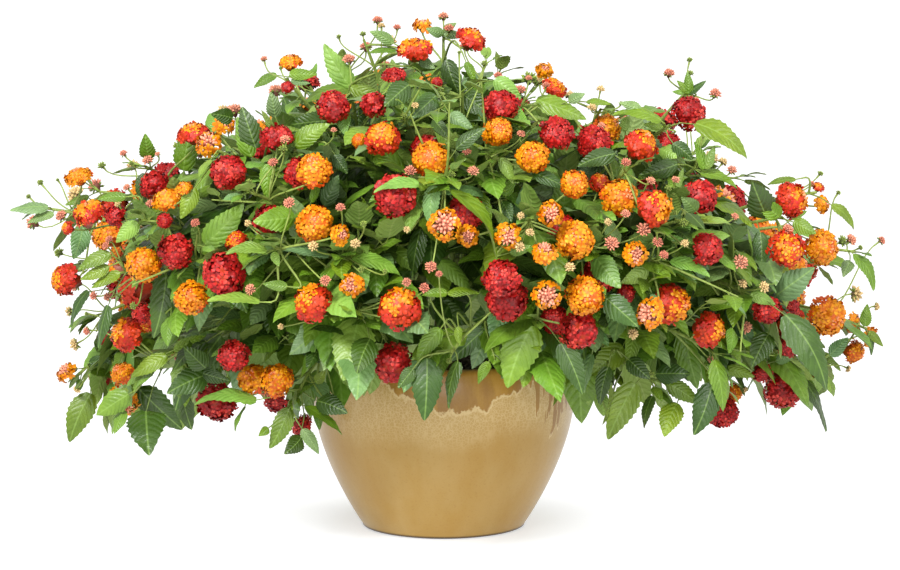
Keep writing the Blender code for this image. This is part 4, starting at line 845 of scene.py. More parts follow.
# Leaves: base across and up, tip across and up, width shown, and tone (B bright, L light, G greyish, D dark,
# Y yellow-green; a for a strongly arched one). The first list is in the solids as well.
FRONT_LEAVES = rows("""
-42.9 34.9 -47.1 34.5 1.3 G; -38.5 36.1 -41.1 35.1 0.9 B; -32.4 38.6 -32.7 35.1 1.8 D;
-28.2 38.8 -27.2 43.8 2.6 B; -27 37 -28.6 33.6 1.9 B; -26.6 29 -30.2 32.9 1.6 Ga;
-26 30.8 -21.7 35.3 3 L; -39.2 32.8 -40.3 29.2 2.2 G; -36.2 29.8 -39.8 28 1.6 B;
-30.2 27.6 -31.7 20.5 3 D; -38.6 14.5 -41 9 2.9 B; -33.4 15 -28.6 10.4 3.2 D;
-32.6 12.5 -32.3 7.5 4.3 D; -25.9 16.5 -30.3 14.4 3 D; -30.2 18.6 -34.2 16.2 1.8 B;
-26 17.2 -28.4 19.6 2.4 D; -36.6 24.2 -37.7 19.4 1.3 D; -38.7 25.8 -40.6 21.7 1.1 D;
-18 49.3 -20.5 47.8 1 B; -18.2 44.6 -18.7 47.4 1.7 G; -10 47.8 -12.9 52.6 2.4 L;
-10 47.8 -15.4 45.9 1.6 B; -9.3 46.2 -9.2 42.7 2 D; -20.3 41.2 -21.8 45.8 2.6 D;
-16.2 41.5 -12.3 43.9 2.2 B; -3.7 48.2 -6.4 45.8 2.6 D; 0.3 50.9 1.9 46.8 2 D; 2 47.2 5.3 44.8 2.4 D;
5.5 48.8 8.4 46.6 2 L; -0.8 47 -3.5 44.5 2.2 D; 1.3 41.2 4.6 43.5 1.6 D; 10 46.6 15.5 44.4 2.2 B;
23.6 44.3 18.3 44.9 1.4 Ba; 27.2 44 32.9 40.1 2.4 Ba; 27.8 38.6 31.9 36.8 1.2 B;
25.4 39.6 21.2 38.4 2 D; 18.6 40.7 14.5 39.3 2 D; -16.2 33.8 -20.7 33.3 2.8 B; -12 29.2 -19.6 27.7 2 La;
-10 29.3 -4.7 27.4 1.6 La; -22.2 22.8 -26.3 23.5 1.3 G; -13 35 -11.4 38.4 2 G;
-19 39.6 -19.2 35.8 1.8 B; -2.6 37.4 -7.6 36.4 1.4 La; -1 37.3 -1.4 32.7 1.8 G;
0.6 36.7 5.7 29.3 1.6 Ba; -0.6 29.2 3.1 25.4 2 L; -1.5 24.3 3 22.2 2.8 D; 6.6 28.9 11.8 27 1.4 L;
13 26.6 15.6 22.7 2.2 L; 14 36.2 9.3 36.6 1.8 G; -2.5 32.5 -3.4 27.2 2 D; 16.6 29.4 19.3 26 2.8 L;
17.6 25 21.2 21.8 2.8 D; 24.6 29 29 27.2 1.4 L; 32 26.2 26.9 25 1.8 L; 34.4 32.2 34.6 28.2 1.9 D;
35.2 33.6 33.5 37.6 3.2 D; 36.2 25.2 40.4 28.3 3.2 G; 42.1 35.2 44.6 32.4 1.1 B;
44.6 29.8 46.8 25.7 1.2 Ba; 37.2 23.2 41.9 14.6 3.6 D; 39 16.4 41.9 10.1 1.3 D; 46 21.8 46.2 24.3 1.3 B;
46.4 21.3 48 19.6 0.9 B; 42.2 18.6 44.2 20.6 1.6 G; 35.5 21 33.7 17.3 2.6 D;
-20.4 13.7 -27.3 13.1 1.6 La; -9.3 22.6 -11 15.8 4.6 L; -16.9 12.8 -19.1 8.3 2.2 B;
-13.9 13.6 -10.5 12.2 2.4 D; -15.6 9.6 -17.5 7.7 2 D; -8 20.5 -9.5 16.6 3 D; -1.8 18.4 -2.1 11.4 3.4 D;
1.6 18 0.6 12.7 1.6 D; 4.8 21.9 0.7 18 2.6 D; 9.7 22 7 15 4.2 B; 12.8 20 15.2 14.3 2.6 D;
19.6 19.6 16 16.4 2.8 B; 21 15.6 18 9.3 3.2 B; 25.6 13.4 24.2 9.6 2.6 Y; 23.2 16.6 27 16.6 2.4 D;
26.2 21.6 27.8 14.9 2.8 B; 29.4 15.6 27.4 9.8 3 D; 29.6 18.2 30.6 12.4 2 B; 30.8 17.2 34 16.2 1.4 B""")
MORE_LEAVES = rows("""
-42.3 34.2 -45.2 33.1 1 G; -34.5 36 -37.6 35.7 1.2 B; -31.9 40.2 -32.3 42.9 1.8 B;
-33.2 33.2 -35.6 31 1.8 L; -35.2 27.7 -38.4 26 1.3 B; -36.4 28.4 -39.6 27 1.4 B;
-29.5 19.2 -25.9 20.8 1.4 B; -26.5 16.7 -23.4 15.8 1.6 D; -40 17.1 -42 17.3 0.9 D;
-38.8 17.8 -36.2 18.3 1.2 D; -38.6 16.9 -35.8 15.9 1 B; -16.7 49.3 -13.6 49.3 1.3 B;
-16.5 48.6 -14.4 48.3 0.8 G; -10.1 47.9 -6.1 46.6 1.8 Ba; -20.8 40.3 -22.3 44.7 2 B;
-22.8 44.5 -25.2 45 1.8 D; -12.3 44.3 -16.6 43.8 2.2 D; -5.4 52.6 -8 53.9 1.3 G;
-5 51.9 -8.2 51.5 0.6 Ba; 2.4 50.6 3.3 48.3 1 B; 0 47.5 0.9 47.7 0.8 D; 0.6 45 3.2 43.5 1.8 G;
2.6 42.2 4.9 42.3 1.2 G; 13.5 46.4 15.3 47.2 1.2 G; 0 53.6 -1.9 54.2 1.2 G; 0 53.6 2.4 53.4 1 G;
0 53.8 1.4 54.8 1 G; -2.6 50.8 -0.9 49.9 1.2 G; 6.2 40.3 7.6 37.4 1.4 L; -5.3 42.6 -4.2 40 1.2 D;
21.4 45.4 19 46.2 1.2 G; 23.9 43.4 21.6 43.9 0.8 B; 29.8 42.2 31.8 41 0.7 D; 28.2 39 27.1 42 1.1 B;
28.4 39 29.4 41.6 1.1 L; 24.8 41.8 27 40 1.6 D; 23.4 41.2 25.3 40.2 1.8 L; 26.5 47.2 25.2 48.6 0.9 B;
26.5 47.2 26.3 49.6 1.1 B; 26.5 47.2 28.4 48.6 0.8 D; 15.4 46.3 18.1 46 0.7 B; 26 47.3 24.7 47.4 0.6 L;
-19.2 30.1 -23.7 29.7 1.2 La; -12.4 29.6 -17.7 30.1 1.2 G; -18.5 30 -17.9 28.4 1 L;
-20 24.5 -25.8 24.6 0.9 L; -14.4 35.4 -13.1 37.9 0.9 B; -15.9 34.6 -15.3 33.2 0.8 G;
-11.8 40.6 -10.4 38.5 1.4 D; -17 26.2 -19.7 26.5 1.2 B; 6.3 35.5 7.4 33.2 1.6 D;
0.4 25.5 -2.4 25.2 1.1 B; 0.4 25.5 3.9 25.4 1.1 B; 9.6 38.6 13.4 36.8 1.4 D; 7.2 29.9 9.8 30.6 1.2 L;
22.3 28.2 19.3 26.6 1.8 L; 23.4 30.6 22.2 28.6 1.4 D; 28.6 27.2 27 29.6 1.6 G;
33.4 25.4 36.2 24.2 1.4 L; 27.4 34.4 25.8 36 1.8 G; 36.5 33.8 34 35.9 2 B; 38 33.3 40.5 32 1.7 B;
44.3 29 43.5 27.2 1.4 G; 38.2 37.9 35.1 37.3 0.7 B; 46.4 21 46.7 18.6 0.8 D; 36.3 18 38.4 18.6 1.2 G;
-15.2 13 -11.1 9.8 1.2 B; -15.5 10.5 -13.7 7.7 1.4 G; -19.2 10.6 -20.3 9.7 1 B; -14 15.6 -12.9 17 1.2 B;
-8.8 24 -7.6 22.3 1 B; -3.3 17.2 -5 15 1.6 D; -0.3 21.6 -2.9 17.9 2 B; 1.6 21.8 1.8 19.7 0.9 B;
16.2 18.8 15.4 14.5 1.3 G; 18 17.4 17.1 13.1 1.8 D; 22.9 14.2 22 10.5 1.3 D; 24.4 15.6 28 13.2 2 B;
20.2 18.2 22.6 16 2 D""")


# Fine pieces

class Pile:
    """Points and faces of one piece, with the colour and the leaf place that each point is painted by."""

    def __init__(self):
        self.points, self.tints, self.places, self.faces = [], [], [], []
        self.total = 0

    def add(self, points, faces, tint, slot=0, places=None):
        points = np.asarray(points, float)
        count = len(points)
        self.points.append(points)
        self.tints.append(np.broadcast_to(np.asarray(tint, float), (count, 3)))
        self.places.append(np.zeros((count, 2)) if places is None else places)
        self.faces.append((np.asarray(faces) + self.total, slot))
        self.total += count

    def cap(self, faces, count, slot=0):
        """More faces on the points that were added last, of which there are this many."""
        self.faces.append((np.asarray(faces) + self.total - count, slot))

    def piece(self, name, materials):
        mesh = bpy.data.meshes.new(name)
        corners = np.concatenate([faces.ravel() for faces, _ in self.faces])
        sizes = np.concatenate([np.full(len(faces), faces.shape[1]) for faces, _ in self.faces])
        slots = np.concatenate([np.full(len(faces), slot) for faces, slot in self.faces])
        points = np.concatenate(self.points)
        mesh.vertices.add(len(points))
        mesh.loops.add(len(corners))
        mesh.polygons.add(len(sizes))
        mesh.vertices.foreach_set("co", points.astype(np.float32).ravel())
        mesh.loops.foreach_set("vertex_index", corners.astype(np.int32))
        mesh.polygons.foreach_set("loop_start", (np.cumsum(sizes) - sizes).astype(np.int32))
        mesh.polygons.foreach_set("material_index", slots.astype(np.int32))
        mesh.update(calc_edges=True)
        mesh.shade_smooth()
        for material in materials:
            mesh.materials.append(material)
        tints = np.ones((len(points), 4), np.float32)
        tints[:, :3] = np.concatenate(self.tints)
        mesh.color_attributes.new("tint", "FLOAT_COLOR", "POINT").data.foreach_set("color", tints.ravel())
        places = np.concatenate(self.places)[corners].astype(np.float32)
        mesh.uv_layers.new(name="leaf_place").data.foreach_set("uv", places.ravel())
        made = bpy.data.objects.new(name, mesh)
        bpy.context.scene.collection.objects.link(made)
        return made


def unit(vector):
    return vector / max(np.linalg.norm(vector), 1e-9)


def mixed(first, second, share):
    return np.asarray(first) * (1.0 - share) + np.asarray(second) * share


def strip_faces(rows_of_points, columns, closed):
    """Quads of a grid of points that is numbered row by row."""
    found = []
    for i in range(rows_of_points - 1):
        for j in range(columns if closed else columns - 1):
            k = (j + 1) % columns
            found.append((i * columns + j, i * columns + k, (i + 1) * columns + k, (i + 1) * columns + j))
    return np.array(found)


FACES = {}


def strips(rows_of_points, columns, closed=True):
    key = (rows_of_points, columns, closed)
    if key not in FACES:
        FACES[key] = strip_faces(*key)
    return FACES[key]


def add_tube(pile, line, radii, sides, tint, slot=0):
    """A round stem along a line. Its tint is one colour, or one for each point of the line."""
    line = np.asarray(line, float)
    ways = np.gradient(line, axis=0)
    ways /= np.linalg.norm(ways, axis=1)[:, None]
    side = unit(np.cross(ways[0], (0.31, 0.17, 0.93) if abs(ways[0][2]) < 0.9 else (0.0, 1.0, 0.0)))
    angles = np.arange(sides) * 2.0 * math.pi / sides
    wave, swing = np.cos(angles)[:, None], np.sin(angles)[:, None]
    found = []
    for point, way, radius in zip(line, ways, radii):
        side = unit(side - way * np.dot(side, way))
        found.append(point + radius * (wave * side + swing * np.cross(way, side)))
    tints = np.asarray(tint, float)
    if tints.ndim == 2:
        tints = np.repeat(tints, sides, axis=0)
    pile.add(np.concatenate(found), strips(len(line), sides), tints, slot)


def flat_ring(radius, height, sides):
    """Points round a level circle."""
    angles = np.arange(sides) * 2.0 * math.pi / sides
    return np.stack([radius * np.cos(angles), radius * np.sin(angles), np.full(sides, height)], axis=1)


def bend(points, count):
    """Points along a cubic curve."""
    t = np.linspace(0.0, 1.0, count)[:, None]
    a, b, c, d = (np.asarray(p, float) for p in points)
    return a * (1 - t) ** 3 + 3 * b * t * (1 - t) ** 2 + 3 * c * t * t * (1 - t) + d * t**3


def blade_rows(count, toothed):
    """Places along a blade and half widths there. Every other row is a tooth where the blade has teeth."""
    u = BLADE_START + (1.0 - BLADE_START) * np.arange(count) / count
    wide = (1.0 - u) ** 1.02 * u**0.45 / 0.404
    if toothed:
        wide = wide * np.where(np.arange(count) % 2, FINE_TOOTH, FINE_NOTCH)
    return u, wide


BLADES = {
    "fine": (*blade_rows(19, True), np.array((-1.0, -0.52, 0.0, 0.52, 1.0))),
    "medium": (*blade_rows(9, True), np.array((-1.0, -0.5, 0.0, 0.5, 1.0))),
    "plain": (*blade_rows(8, False), np.array((-1.0, 0.0, 1.0))),
}


def add_skin(pile, skin, tip, places, tint, under):
    """One side of a blade, from its rows of points to its tip."""
    count, columns = skin.shape[:2]
    last, row = count * columns, (count - 1) * columns
    faces = strips(count, columns, False)
    end = np.array([(row + j, row + j + 1, last) for j in range(columns - 1)])
    if under:
        faces, end = faces[:, ::-1], end[:, (1, 0, 2)]
    points = np.concatenate([skin.reshape(-1, 3), tip[None, :]])
    marks = np.concatenate([places.reshape(-1, 2), [(0.5, 1.0)]])
    pile.add(points, faces, tint, int(under), marks)
    pile.cap(end, len(points), int(under))


def blade_surface(shape, base, along, side, normal, width, draw, arch):
    """(rows of points, direction up at each row): folded along the rib, arched and slightly waved."""
    u, wide, across = shape
    length = np.linalg.norm(along)
    bow = arch + draw.uniform(-0.03, 0.06)
    sway = draw.uniform(-0.05, 0.05) * length
    rib = base + along * u[:, None] + (4 * u * (1 - u))[:, None] * (normal * bow * length * 0.5 + side * sway)
    slope = unit(along)[None, :] + normal * (2.0 * bow * (1 - 2 * u))[:, None]
    upward = np.cross(side[None, :], slope)
    upward /= np.linalg.norm(upward, axis=1)[:, None]
    half = 0.5 * width * wide
    fold, curl = draw.uniform(0.05, 0.36), draw.uniform(0.10, 0.45)
    twist = draw.uniform(-0.30, 0.30) * u
    out = np.abs(across)
    rise = (out * fold - out * out * curl)[None, :] * half[:, None]
    rise += across[None, :] * (twist * half)[:, None]
    ripple = np.sin(u[:, None] * draw.uniform(9, 15) + across[None, :] * 2.0)
    rise += LEAF_WAVE * width * ripple * out[None, :]
    forward = unit(along) * length * TEETH_FORWARD
    swept = forward * (out * out)[None, :, None] * (u > 0.05)[:, None, None]
    skin = rib[:, None, :] + side * (across[None, :] * half[:, None])[..., None]
    return skin + upward[:, None, :] * rise[..., None] + swept, upward


def add_leaf(pile, detail, base, tip, normal, width, tint, seed, arch):
    """A blade with a top skin and, closely under it, an under skin with the rib standing out of it."""
    u, wide, across = BLADES[detail]
    base, tip, normal = (np.asarray(v, float) for v in (base, tip, normal))
    along = tip - base
    side = unit(np.cross(along, normal))
    normal = unit(np.cross(side, along))
    top, upward = blade_surface(BLADES[detail], base, along, side, normal, width, random.Random(seed), arch)
    places = np.stack(np.broadcast_arrays(0.5 + 0.5 * across[None, :] * wide[:, None], u[:, None]), axis=-1)
    add_skin(pile, top, tip, places, tint, False)
    keep = np.array((0, len(across) // 2, len(across) - 1))
    drop = np.array((BLADE_GAP, RIB_DEPTH, BLADE_GAP))
    under = top[:, keep] - upward[:, None, :] * drop[None, :, None]
    add_skin(pile, under, tip - normal * BLADE_GAP, places[:, keep], tint, True)


def add_petiole(pile, root, base, way, tint):
    """The leaf's stalk: out of the stem, then in line with the blade. It runs a little way under the rib."""
    root, base, way = (np.asarray(v, float) for v in (root, base, way))
    reach = np.linalg.norm(base - root)
    sunk = root - unit(base - root) * PETIOLE_SUNK
    line = bend((sunk, root + (base - root) * 0.35, base - way * 0.35 * reach, base + way * PETIOLE_UNDER), 3)
    add_tube(pile, line, PETIOLE_RADII, 3, tint, 2)


def floret_shape(lobes):
    """A flower's limb of rounded lobes round a sunken throat, on a short tube, for a limb radius of 1."""
    points, paint = [(0.0, 0.0, -0.20)], [0.0]
    step = 2.0 * math.pi / lobes
    for k in range(lobes):
        lift = 0.16 * math.sin(2.4 * k + 1.0)
        for turn, reach, rise, share, shade in FLORET_LOBE:
            angle = (k + turn) * step
            points.append((reach * math.cos(angle), reach * math.sin(angle), rise + lift * share))
            paint.append(shade)
    faces = []
    for k in range(lobes):
        notch, side, tip, other, bulge = (1 + 5 * k + n for n in range(5))
        after = 1 + 5 * ((k + 1) % lobes)
        faces += [(0, notch, bulge), (0, bulge, after), (notch, side, bulge), (side, tip, bulge),
                  (tip, other, bulge), (other, after, bulge)]
    low = len(points)
    points += [(0.22 * math.cos(k * 2.1), 0.22 * math.sin(k * 2.1), -0.18) for k in range(3)]
    points.append((0.0, 0.0, -1.4))
    paint += [0.1] * 4
    faces += [(low + (k + 1) % 3, low + k, low + 3) for k in range(3)]
    return np.array(points), np.array(faces), np.array(paint)


def peg_shape(sides):
    """A blunt bud or calyx that stands on its foot, for a length of 1."""
    points = np.concatenate([flat_ring(0.16, 0.0, sides), flat_ring(0.24, 0.62, sides), [(0.0, 0.0, 1.0)]])
    faces = []
    for k in range(sides):
        j = (k + 1) % sides
        faces += [(k, j, sides + j), (k, sides + j, sides + k), (sides + k, sides + j, 2 * sides)]
    return points, np.array(faces)


FLORETS = [floret_shape(5), floret_shape(4)]
PEG = peg_shape(4)


def frames_on(ways, spins):
    """A turned frame for each direction, as rows of (side, other side, way)."""
    helper = np.where(np.abs(ways[:, 2:]) < 0.9, (0.12, 0.23, 0.96), (0.0, 1.0, 0.1))
    side = np.cross(ways, helper)
    side /= np.linalg.norm(side, axis=1)[:, None]
    other = np.cross(ways, side)
    c, s = np.cos(spins)[:, None], np.sin(spins)[:, None]
    return np.stack([side * c + other * s, other * c - side * s, ways], axis=1)


def add_many(pile, shape, spots, frames, sizes, tints):
    """The same small shape at many places. The tints have one colour for each place and point."""
    points, faces = shape[0], shape[1]
    placed = np.einsum("pk,nkc->npc", points, frames) * sizes[:, None, None] + spots[:, None, :]
    count = len(points)
    all_faces = (faces[None] + (np.arange(len(spots)) * count)[:, None, None]).reshape(-1, 3)
    pile.add(placed.reshape(-1, 3), all_faces, tints.reshape(-1, 3))


def dome_ways(axis, count, widest, draw, start=0.0):
    """Evenly spread directions between two angles from the axis, slightly disturbed, and the angles."""
    k = np.arange(count) + 0.5
    low, high = math.cos(math.radians(start)), math.cos(math.radians(widest))
    height = low + (high - low) * k / count
    around = k * TURN + draw.uniform(0.0, 6.3)
    reach = np.sqrt(1.0 - height**2)
    flat = np.stack([reach * np.cos(around), reach * np.sin(around), height], axis=1)
    flat += np.array([[draw.gauss(0.0, 0.05) for _ in range(3)] for _ in range(count)])
    frame_of_axis = frames_on(axis[None, :], np.zeros(1))[0]
    ways = flat @ frame_of_axis
    return ways / np.linalg.norm(ways, axis=1)[:, None], np.degrees(np.arccos(np.clip(height, -1, 1)))


def flattened(ways, axis, share):
    """The directions as places on a ball that is pressed flat along its axis."""
    return ways - np.outer(ways @ axis, axis) * (1.0 - share)


def add_florets(pile, middle, radius, ways, limb, colours, draw, spots=None):
    """Open flowers on a ball. The colours give the lobes' and the throat's colour of each flower."""
    spots = ways if spots is None else spots
    lump = np.array([draw.gauss(0.0, LUMPY) for _ in range(3)])
    for which, shape in enumerate(FLORETS):
        pick = [k for k in range(len(ways)) if (k % 3 == 2) == bool(which)]
        if not pick:
            continue
        tilt = np.array([[draw.gauss(0.0, 0.24) for _ in range(3)] for _ in pick])
        faces_to = ways[pick] + tilt
        faces_to /= np.linalg.norm(faces_to, axis=1)[:, None]
        reach = np.array([radius * draw.uniform(0.86, 1.02) for _ in pick]) * (1.0 + ways[pick] @ lump)
        sizes = np.array([limb * draw.uniform(0.82, 1.16) for _ in pick])
        frames = frames_on(faces_to, np.array([draw.uniform(0.0, 6.3) for _ in pick]))
        paint = shape[2][None, :, None]
        lobes, throats = colours
        tints = throats[pick][:, None, :] * (1 - paint) + lobes[pick][:, None, :] * paint
        add_many(pile, shape, middle + spots[pick] * reach[:, None], frames, sizes, tints)


def add_pegs(pile, middle, radius, ways, length, colour, draw):
    count = len(ways)
    sizes = np.array([length * draw.uniform(0.8, 1.15) for _ in range(count)])
    frames = frames_on(ways, np.array([draw.uniform(0.0, 6.3) for _ in range(count)]))
    shade = np.array([draw.uniform(0.72, 1.25) for _ in range(count)])[:, None, None]
    # Painted shade: each peg is tinted darker at its foot, among its neighbours, and a little lighter towards
    # its tip.
    foot = np.linspace(0.72, 1.12, len(PEG[0]))[None, :, None]
    tints = np.asarray(colour)[None, None, :] * shade * foot
    add_many(pile, PEG, middle + ways * radius, frames, sizes, tints)


def add_ball(pile, middle, axis, radius, tint, flat=1.0):
    """A closed knob that narrows downwards: the place on which the flowers of a head stand."""
    found = [[(0.0, 0.0, -flat), (0.0, 0.0, flat)]]
    for height in BALL_HEIGHTS:
        reach = math.sqrt(1 - height * height) * (BALL_UNDER if height < 0 else 1.0)
        found.append(flat_ring(reach, height * flat, BALL_SIDES))
    points = np.concatenate(found) @ frames_on(axis[None, :], np.zeros(1))[0] * radius + middle
    # Painted shade: the knob's lower rings and lowest point are tinted darker.
    shade = np.concatenate([(BALL_PAINTED_SHADES[0], 1.0), np.repeat(BALL_PAINTED_SHADES, BALL_SIDES)])
    pile.add(points, strips(len(BALL_HEIGHTS), BALL_SIDES) + 2, np.outer(shade, tint))
    top = len(points) - BALL_SIDES
    caps = []
    for k in range(BALL_SIDES):
        after = (k + 1) % BALL_SIDES
        caps += [(2 + after, 2 + k, 0), (top + k, top + after, 1)]
    pile.cap(caps, len(points))


def add_stalk(pile, root, way, neck, axis, thick, tint):
    """A bare flower stalk that leaves the shoot along it and comes up into the head."""
    root, way, neck, axis = (np.asarray(v, float) for v in (root, way, neck, axis))
    reach = np.linalg.norm(neck - root)
    lift = unit(unit(neck - root) + 0.5 * way)
    bends = (root - lift * 0.002, root + lift * reach * 0.34, neck - axis * reach * 0.30, neck)
    radii = np.linspace(thick * 1.25, thick, STALK_STEPS)
    radii[-1] = thick * 1.7
    add_tube(pile, bend(bends, STALK_STEPS), radii, STALK_FINE, tint, 2)


def head_colours(kind, angles, draw):
    """(lobe colours, throat colours) of the flowers by their angle from the top: the outer ones are older.
    The throats have the flowers' own eye colour, darkened further as painted shade in the sunken throat.
    """
    lobes, throats = [], []
    for angle in angles:
        old = angle + draw.gauss(0.0, 7.0)
        if kind == "red":
            if draw.random() < 0.75:
                lobe = mixed(RED_DEEP, RED, draw.uniform(0.1, 1.0))
            else:
                lobe = mixed(RED, RED_LIGHT, draw.random())
            # Painted shade: red throats are darkened to seven tenths.
            throat = mixed(RED_DEEP, ORANGE_RED, 0.10 if old > 30 or draw.random() < 0.5 else 0.7) * 0.7
        elif kind == "bi" and old > 50:
            lobe = mixed(RED, ORANGE_RED, draw.uniform(0.0, 0.7))
            throat = mixed(RED_DEEP, ORANGE_RED, 0.5)
        elif kind == "org" and old > 84:
            lobe = mixed(ORANGE, ORANGE_RED, draw.uniform(0.3, 1.0))
            throat = ORANGE_RED
        else:
            lobe = mixed(ORANGE, YELLOW, draw.uniform(0.0, 1.0))
            throat = mixed(ORANGE_RED, ORANGE, draw.uniform(0.2, 0.8))
        lobes.append(np.asarray(lobe) * draw.uniform(0.85, 1.08))
        # Painted shade: every throat is darkened a little more.
        throats.append(np.asarray(throat) * 0.9)
    return np.array(lobes), np.array(throats)


def add_head(pile, centre, axis, across, kind, seed):
    """A domed head: flowers all over it, or a ring of them round buds that are still closed."""
    draw = random.Random(seed)
    centre, axis = np.asarray(centre, float), np.asarray(axis, float)
    radius = across * 0.5
    middle = centre - axis * radius * HEAD_DROP
    count, start, widest, inner = FLORET_RULES[kind]
    warm = mixed(ORANGE_RED, ORANGE, 0.35)
    core = {"red": RED_DEEP, "bi": mixed(RED, ORANGE_RED, 0.6), "org": warm, "open": PINK_DEEP}[kind]
    upright = kind != "open" and axis[2] > UPRIGHT_FROM
    add_ball(pile, middle, axis, radius * inner, np.asarray(core) * 0.9, FLAT_SHARE if upright else 1.0)
    if kind == "open":
        ways, angles = dome_ways(axis, count, widest, draw, start)
        keep = [k for k in range(len(ways)) if draw.random() < 0.88]
        ways, angles = ways[keep], angles[keep]
        pegs, _ = dome_ways(axis, 28, 56.0, draw)
        add_pegs(pile, middle, radius * 0.44, pegs, radius * 0.46, PINK, draw)
        add_florets(pile, middle, radius * 0.88, ways, OPEN_LIMB, head_colours(kind, angles, draw), draw)
        return
    count = int(count * (SMALL_HEAD_SHARE if across < SMALL_HEAD else 1.0))
    ways, angles = dome_ways(axis, count, UPRIGHT_WIDEST if upright else widest, draw, start)
    spots = flattened(ways, axis, FLAT_SHARE) if upright else ways
    colours = head_colours(kind, angles, draw)
    add_florets(pile, middle, radius * 0.97, ways, radius * LIMB_SHARE, colours, draw, spots)
    if start:
        pegs, _ = dome_ways(axis, 11 if kind == "org" else 5, start + 4.0, draw)
        stand = radius * (0.46 if upright else 0.74)
        add_pegs(pile, middle, stand, pegs, radius * 0.30, mixed(PINK, ORANGE, 0.45), draw)


def add_bud(pile, centre, axis, across, kind, seed):
    """A head in bud or gone by: packed pegs over a few narrow bracts."""
    draw = random.Random(seed)
    centre, axis = np.asarray(centre, float), np.asarray(axis, float)
    radius = across * 0.5
    middle = centre - axis * radius * 0.35
    colour = {"p": mixed(PINK, PINK_DEEP, draw.random()), "g": BUD_GREEN, "t": TAN}[kind]
    widest, count = {"p": (82.0, 34), "g": (78.0, 20), "t": (100.0, 26)}[kind]
    ways, _ = dome_ways(axis, count, widest, draw)
    inner = 0.50 if kind != "t" else 0.30
    # Painted shade: the knob among the pegs has the bud's colour at about a third of its brightness, so the
    # gaps between the pegs look shaded.
    add_ball(pile, middle, axis, radius * (inner + 0.12), np.asarray(colour) * 0.35)
    add_pegs(pile, middle, radius * inner, ways, radius * (1.02 - inner), colour, draw)
    bracts, _ = dome_ways(axis, 7, 112.0, draw, 84.0)
    add_pegs(pile, middle, radius * 0.35, bracts, radius * 0.62, STEM_GREEN, draw)


# The fine plant

def steps_of(values):
    """The numbers of the mask's cell at these picture places."""
    return (round(value / MASK_CELL) for value in values)


class Mask:
    """What must stay in sight from the front: the nearest depth of each cell of the picture that shows it."""

    def __init__(self):
        self.cells = {}

    def disc(self, centre, radius):
        across, up = seen_at(centre)
        reach = radius * 100 / nearness(centre[1])
        count = math.ceil(reach / MASK_CELL)
        i, j = steps_of((across, up))
        for di in range(-count, count + 1):
            for dj in range(-count, count + 1):
                if (di * di + dj * dj) * MASK_CELL**2 <= reach * reach:
                    self.mark((i + di, j + dj), centre[1])

    def mark(self, cell, depth):
        self.cells[cell] = min(self.cells.get(cell, 9.0), depth)

    def blade(self, base, tip, normal, width):
        for point in blade_points(base, tip, normal, width):
            self.mark(tuple(steps_of(seen_at(point))), point[1])

    def hidden_share(self, points):
        """The share of these points that stand before something that must stay in sight."""
        hiding = 0
        for point in points:
            depth = self.cells.get(tuple(steps_of(seen_at(point))))
            hiding += depth is not None and point[1] < depth - 0.001
        return hiding / len(points)


def blade_points(base, tip, normal, width):
    """Points spread over a leaf's blade."""
    along = tip - base
    side = along.cross(normal).normalized()
    count = max(4, round(along.length / 0.004))
    points = []
    for k in range(1, count + 1):
        place = k / (count + 0.5)
        half = width * 0.5 * leaf_outline(place)
        for across in (-0.9, -0.45, 0.0, 0.45, 0.9):
            points.append(base + along * place + side * half * across)
    return points


def edge_spare(point):
    """How far inside the picture's outline leaves keep, more so high up, where the bush is airy."""
    rise = min(max((point.z - AIRY_FROM) / AIRY_RISE, 0.0), 1.0)
    aside = min(max((abs(point.x) - AIRY_ASIDE) / AIRY_WIDTH, 0.0), 1.0) * min(2.5 * rise, 1.0)
    return EDGE_SPARE[0] + (EDGE_SPARE[1] - EDGE_SPARE[0]) * rise + SIDE_SPARE * aside


def inside_limits(points, at_tip=False):
    """Whether points stay off the pot, in the solids' box, and inside the outline seen from the front."""
    for point in points:
        reach = math.hypot(point.x, point.y)
        if point.z < POT_RIM_Z + POT_CLEAR and reach < pot_radius(max(point.z, 0.001)) + POT_CLEAR:
            return False
        if point.z < LOWEST_LEAF:
            return False
        for k in range(3):
            if not CAD_BOX[0][k] - BOX_SPARE < point[k] < CAD_BOX[1][k] + BOX_SPARE:
                return False
        spare = TIP_SPARE if at_tip else edge_spare(point)
        if not shows_inside(BUSH_MIDDLE + (point - BUSH_MIDDLE) * spare):
            return False
    return True


def inwardness(point):
    """0 at the bush's middle and 1 at its surface."""
    rise = point.z - MOUND_Z
    flat = (point.x / MOUND_HALF_WIDTH) ** 2 + (point.y / MOUND_HALF_DEPTH) ** 2
    return math.sqrt(flat + (rise / mound_half(rise)) ** 2)


class Branch:
    """The four fine pieces of one cane."""

    def __init__(self):
        self.stems, self.leaves, self.blooms, self.buds = Pile(), Pile(), Pile(), Pile()


def stem_tint(place):
    """Brown at the foot, green higher up, light at the tip."""
    if place < 0.3:
        return mixed(BARK_BROWN, STEM_GREEN, place / 0.3)
    return mixed(STEM_GREEN, STEM_LIGHT, (place - 0.3) / 0.7)


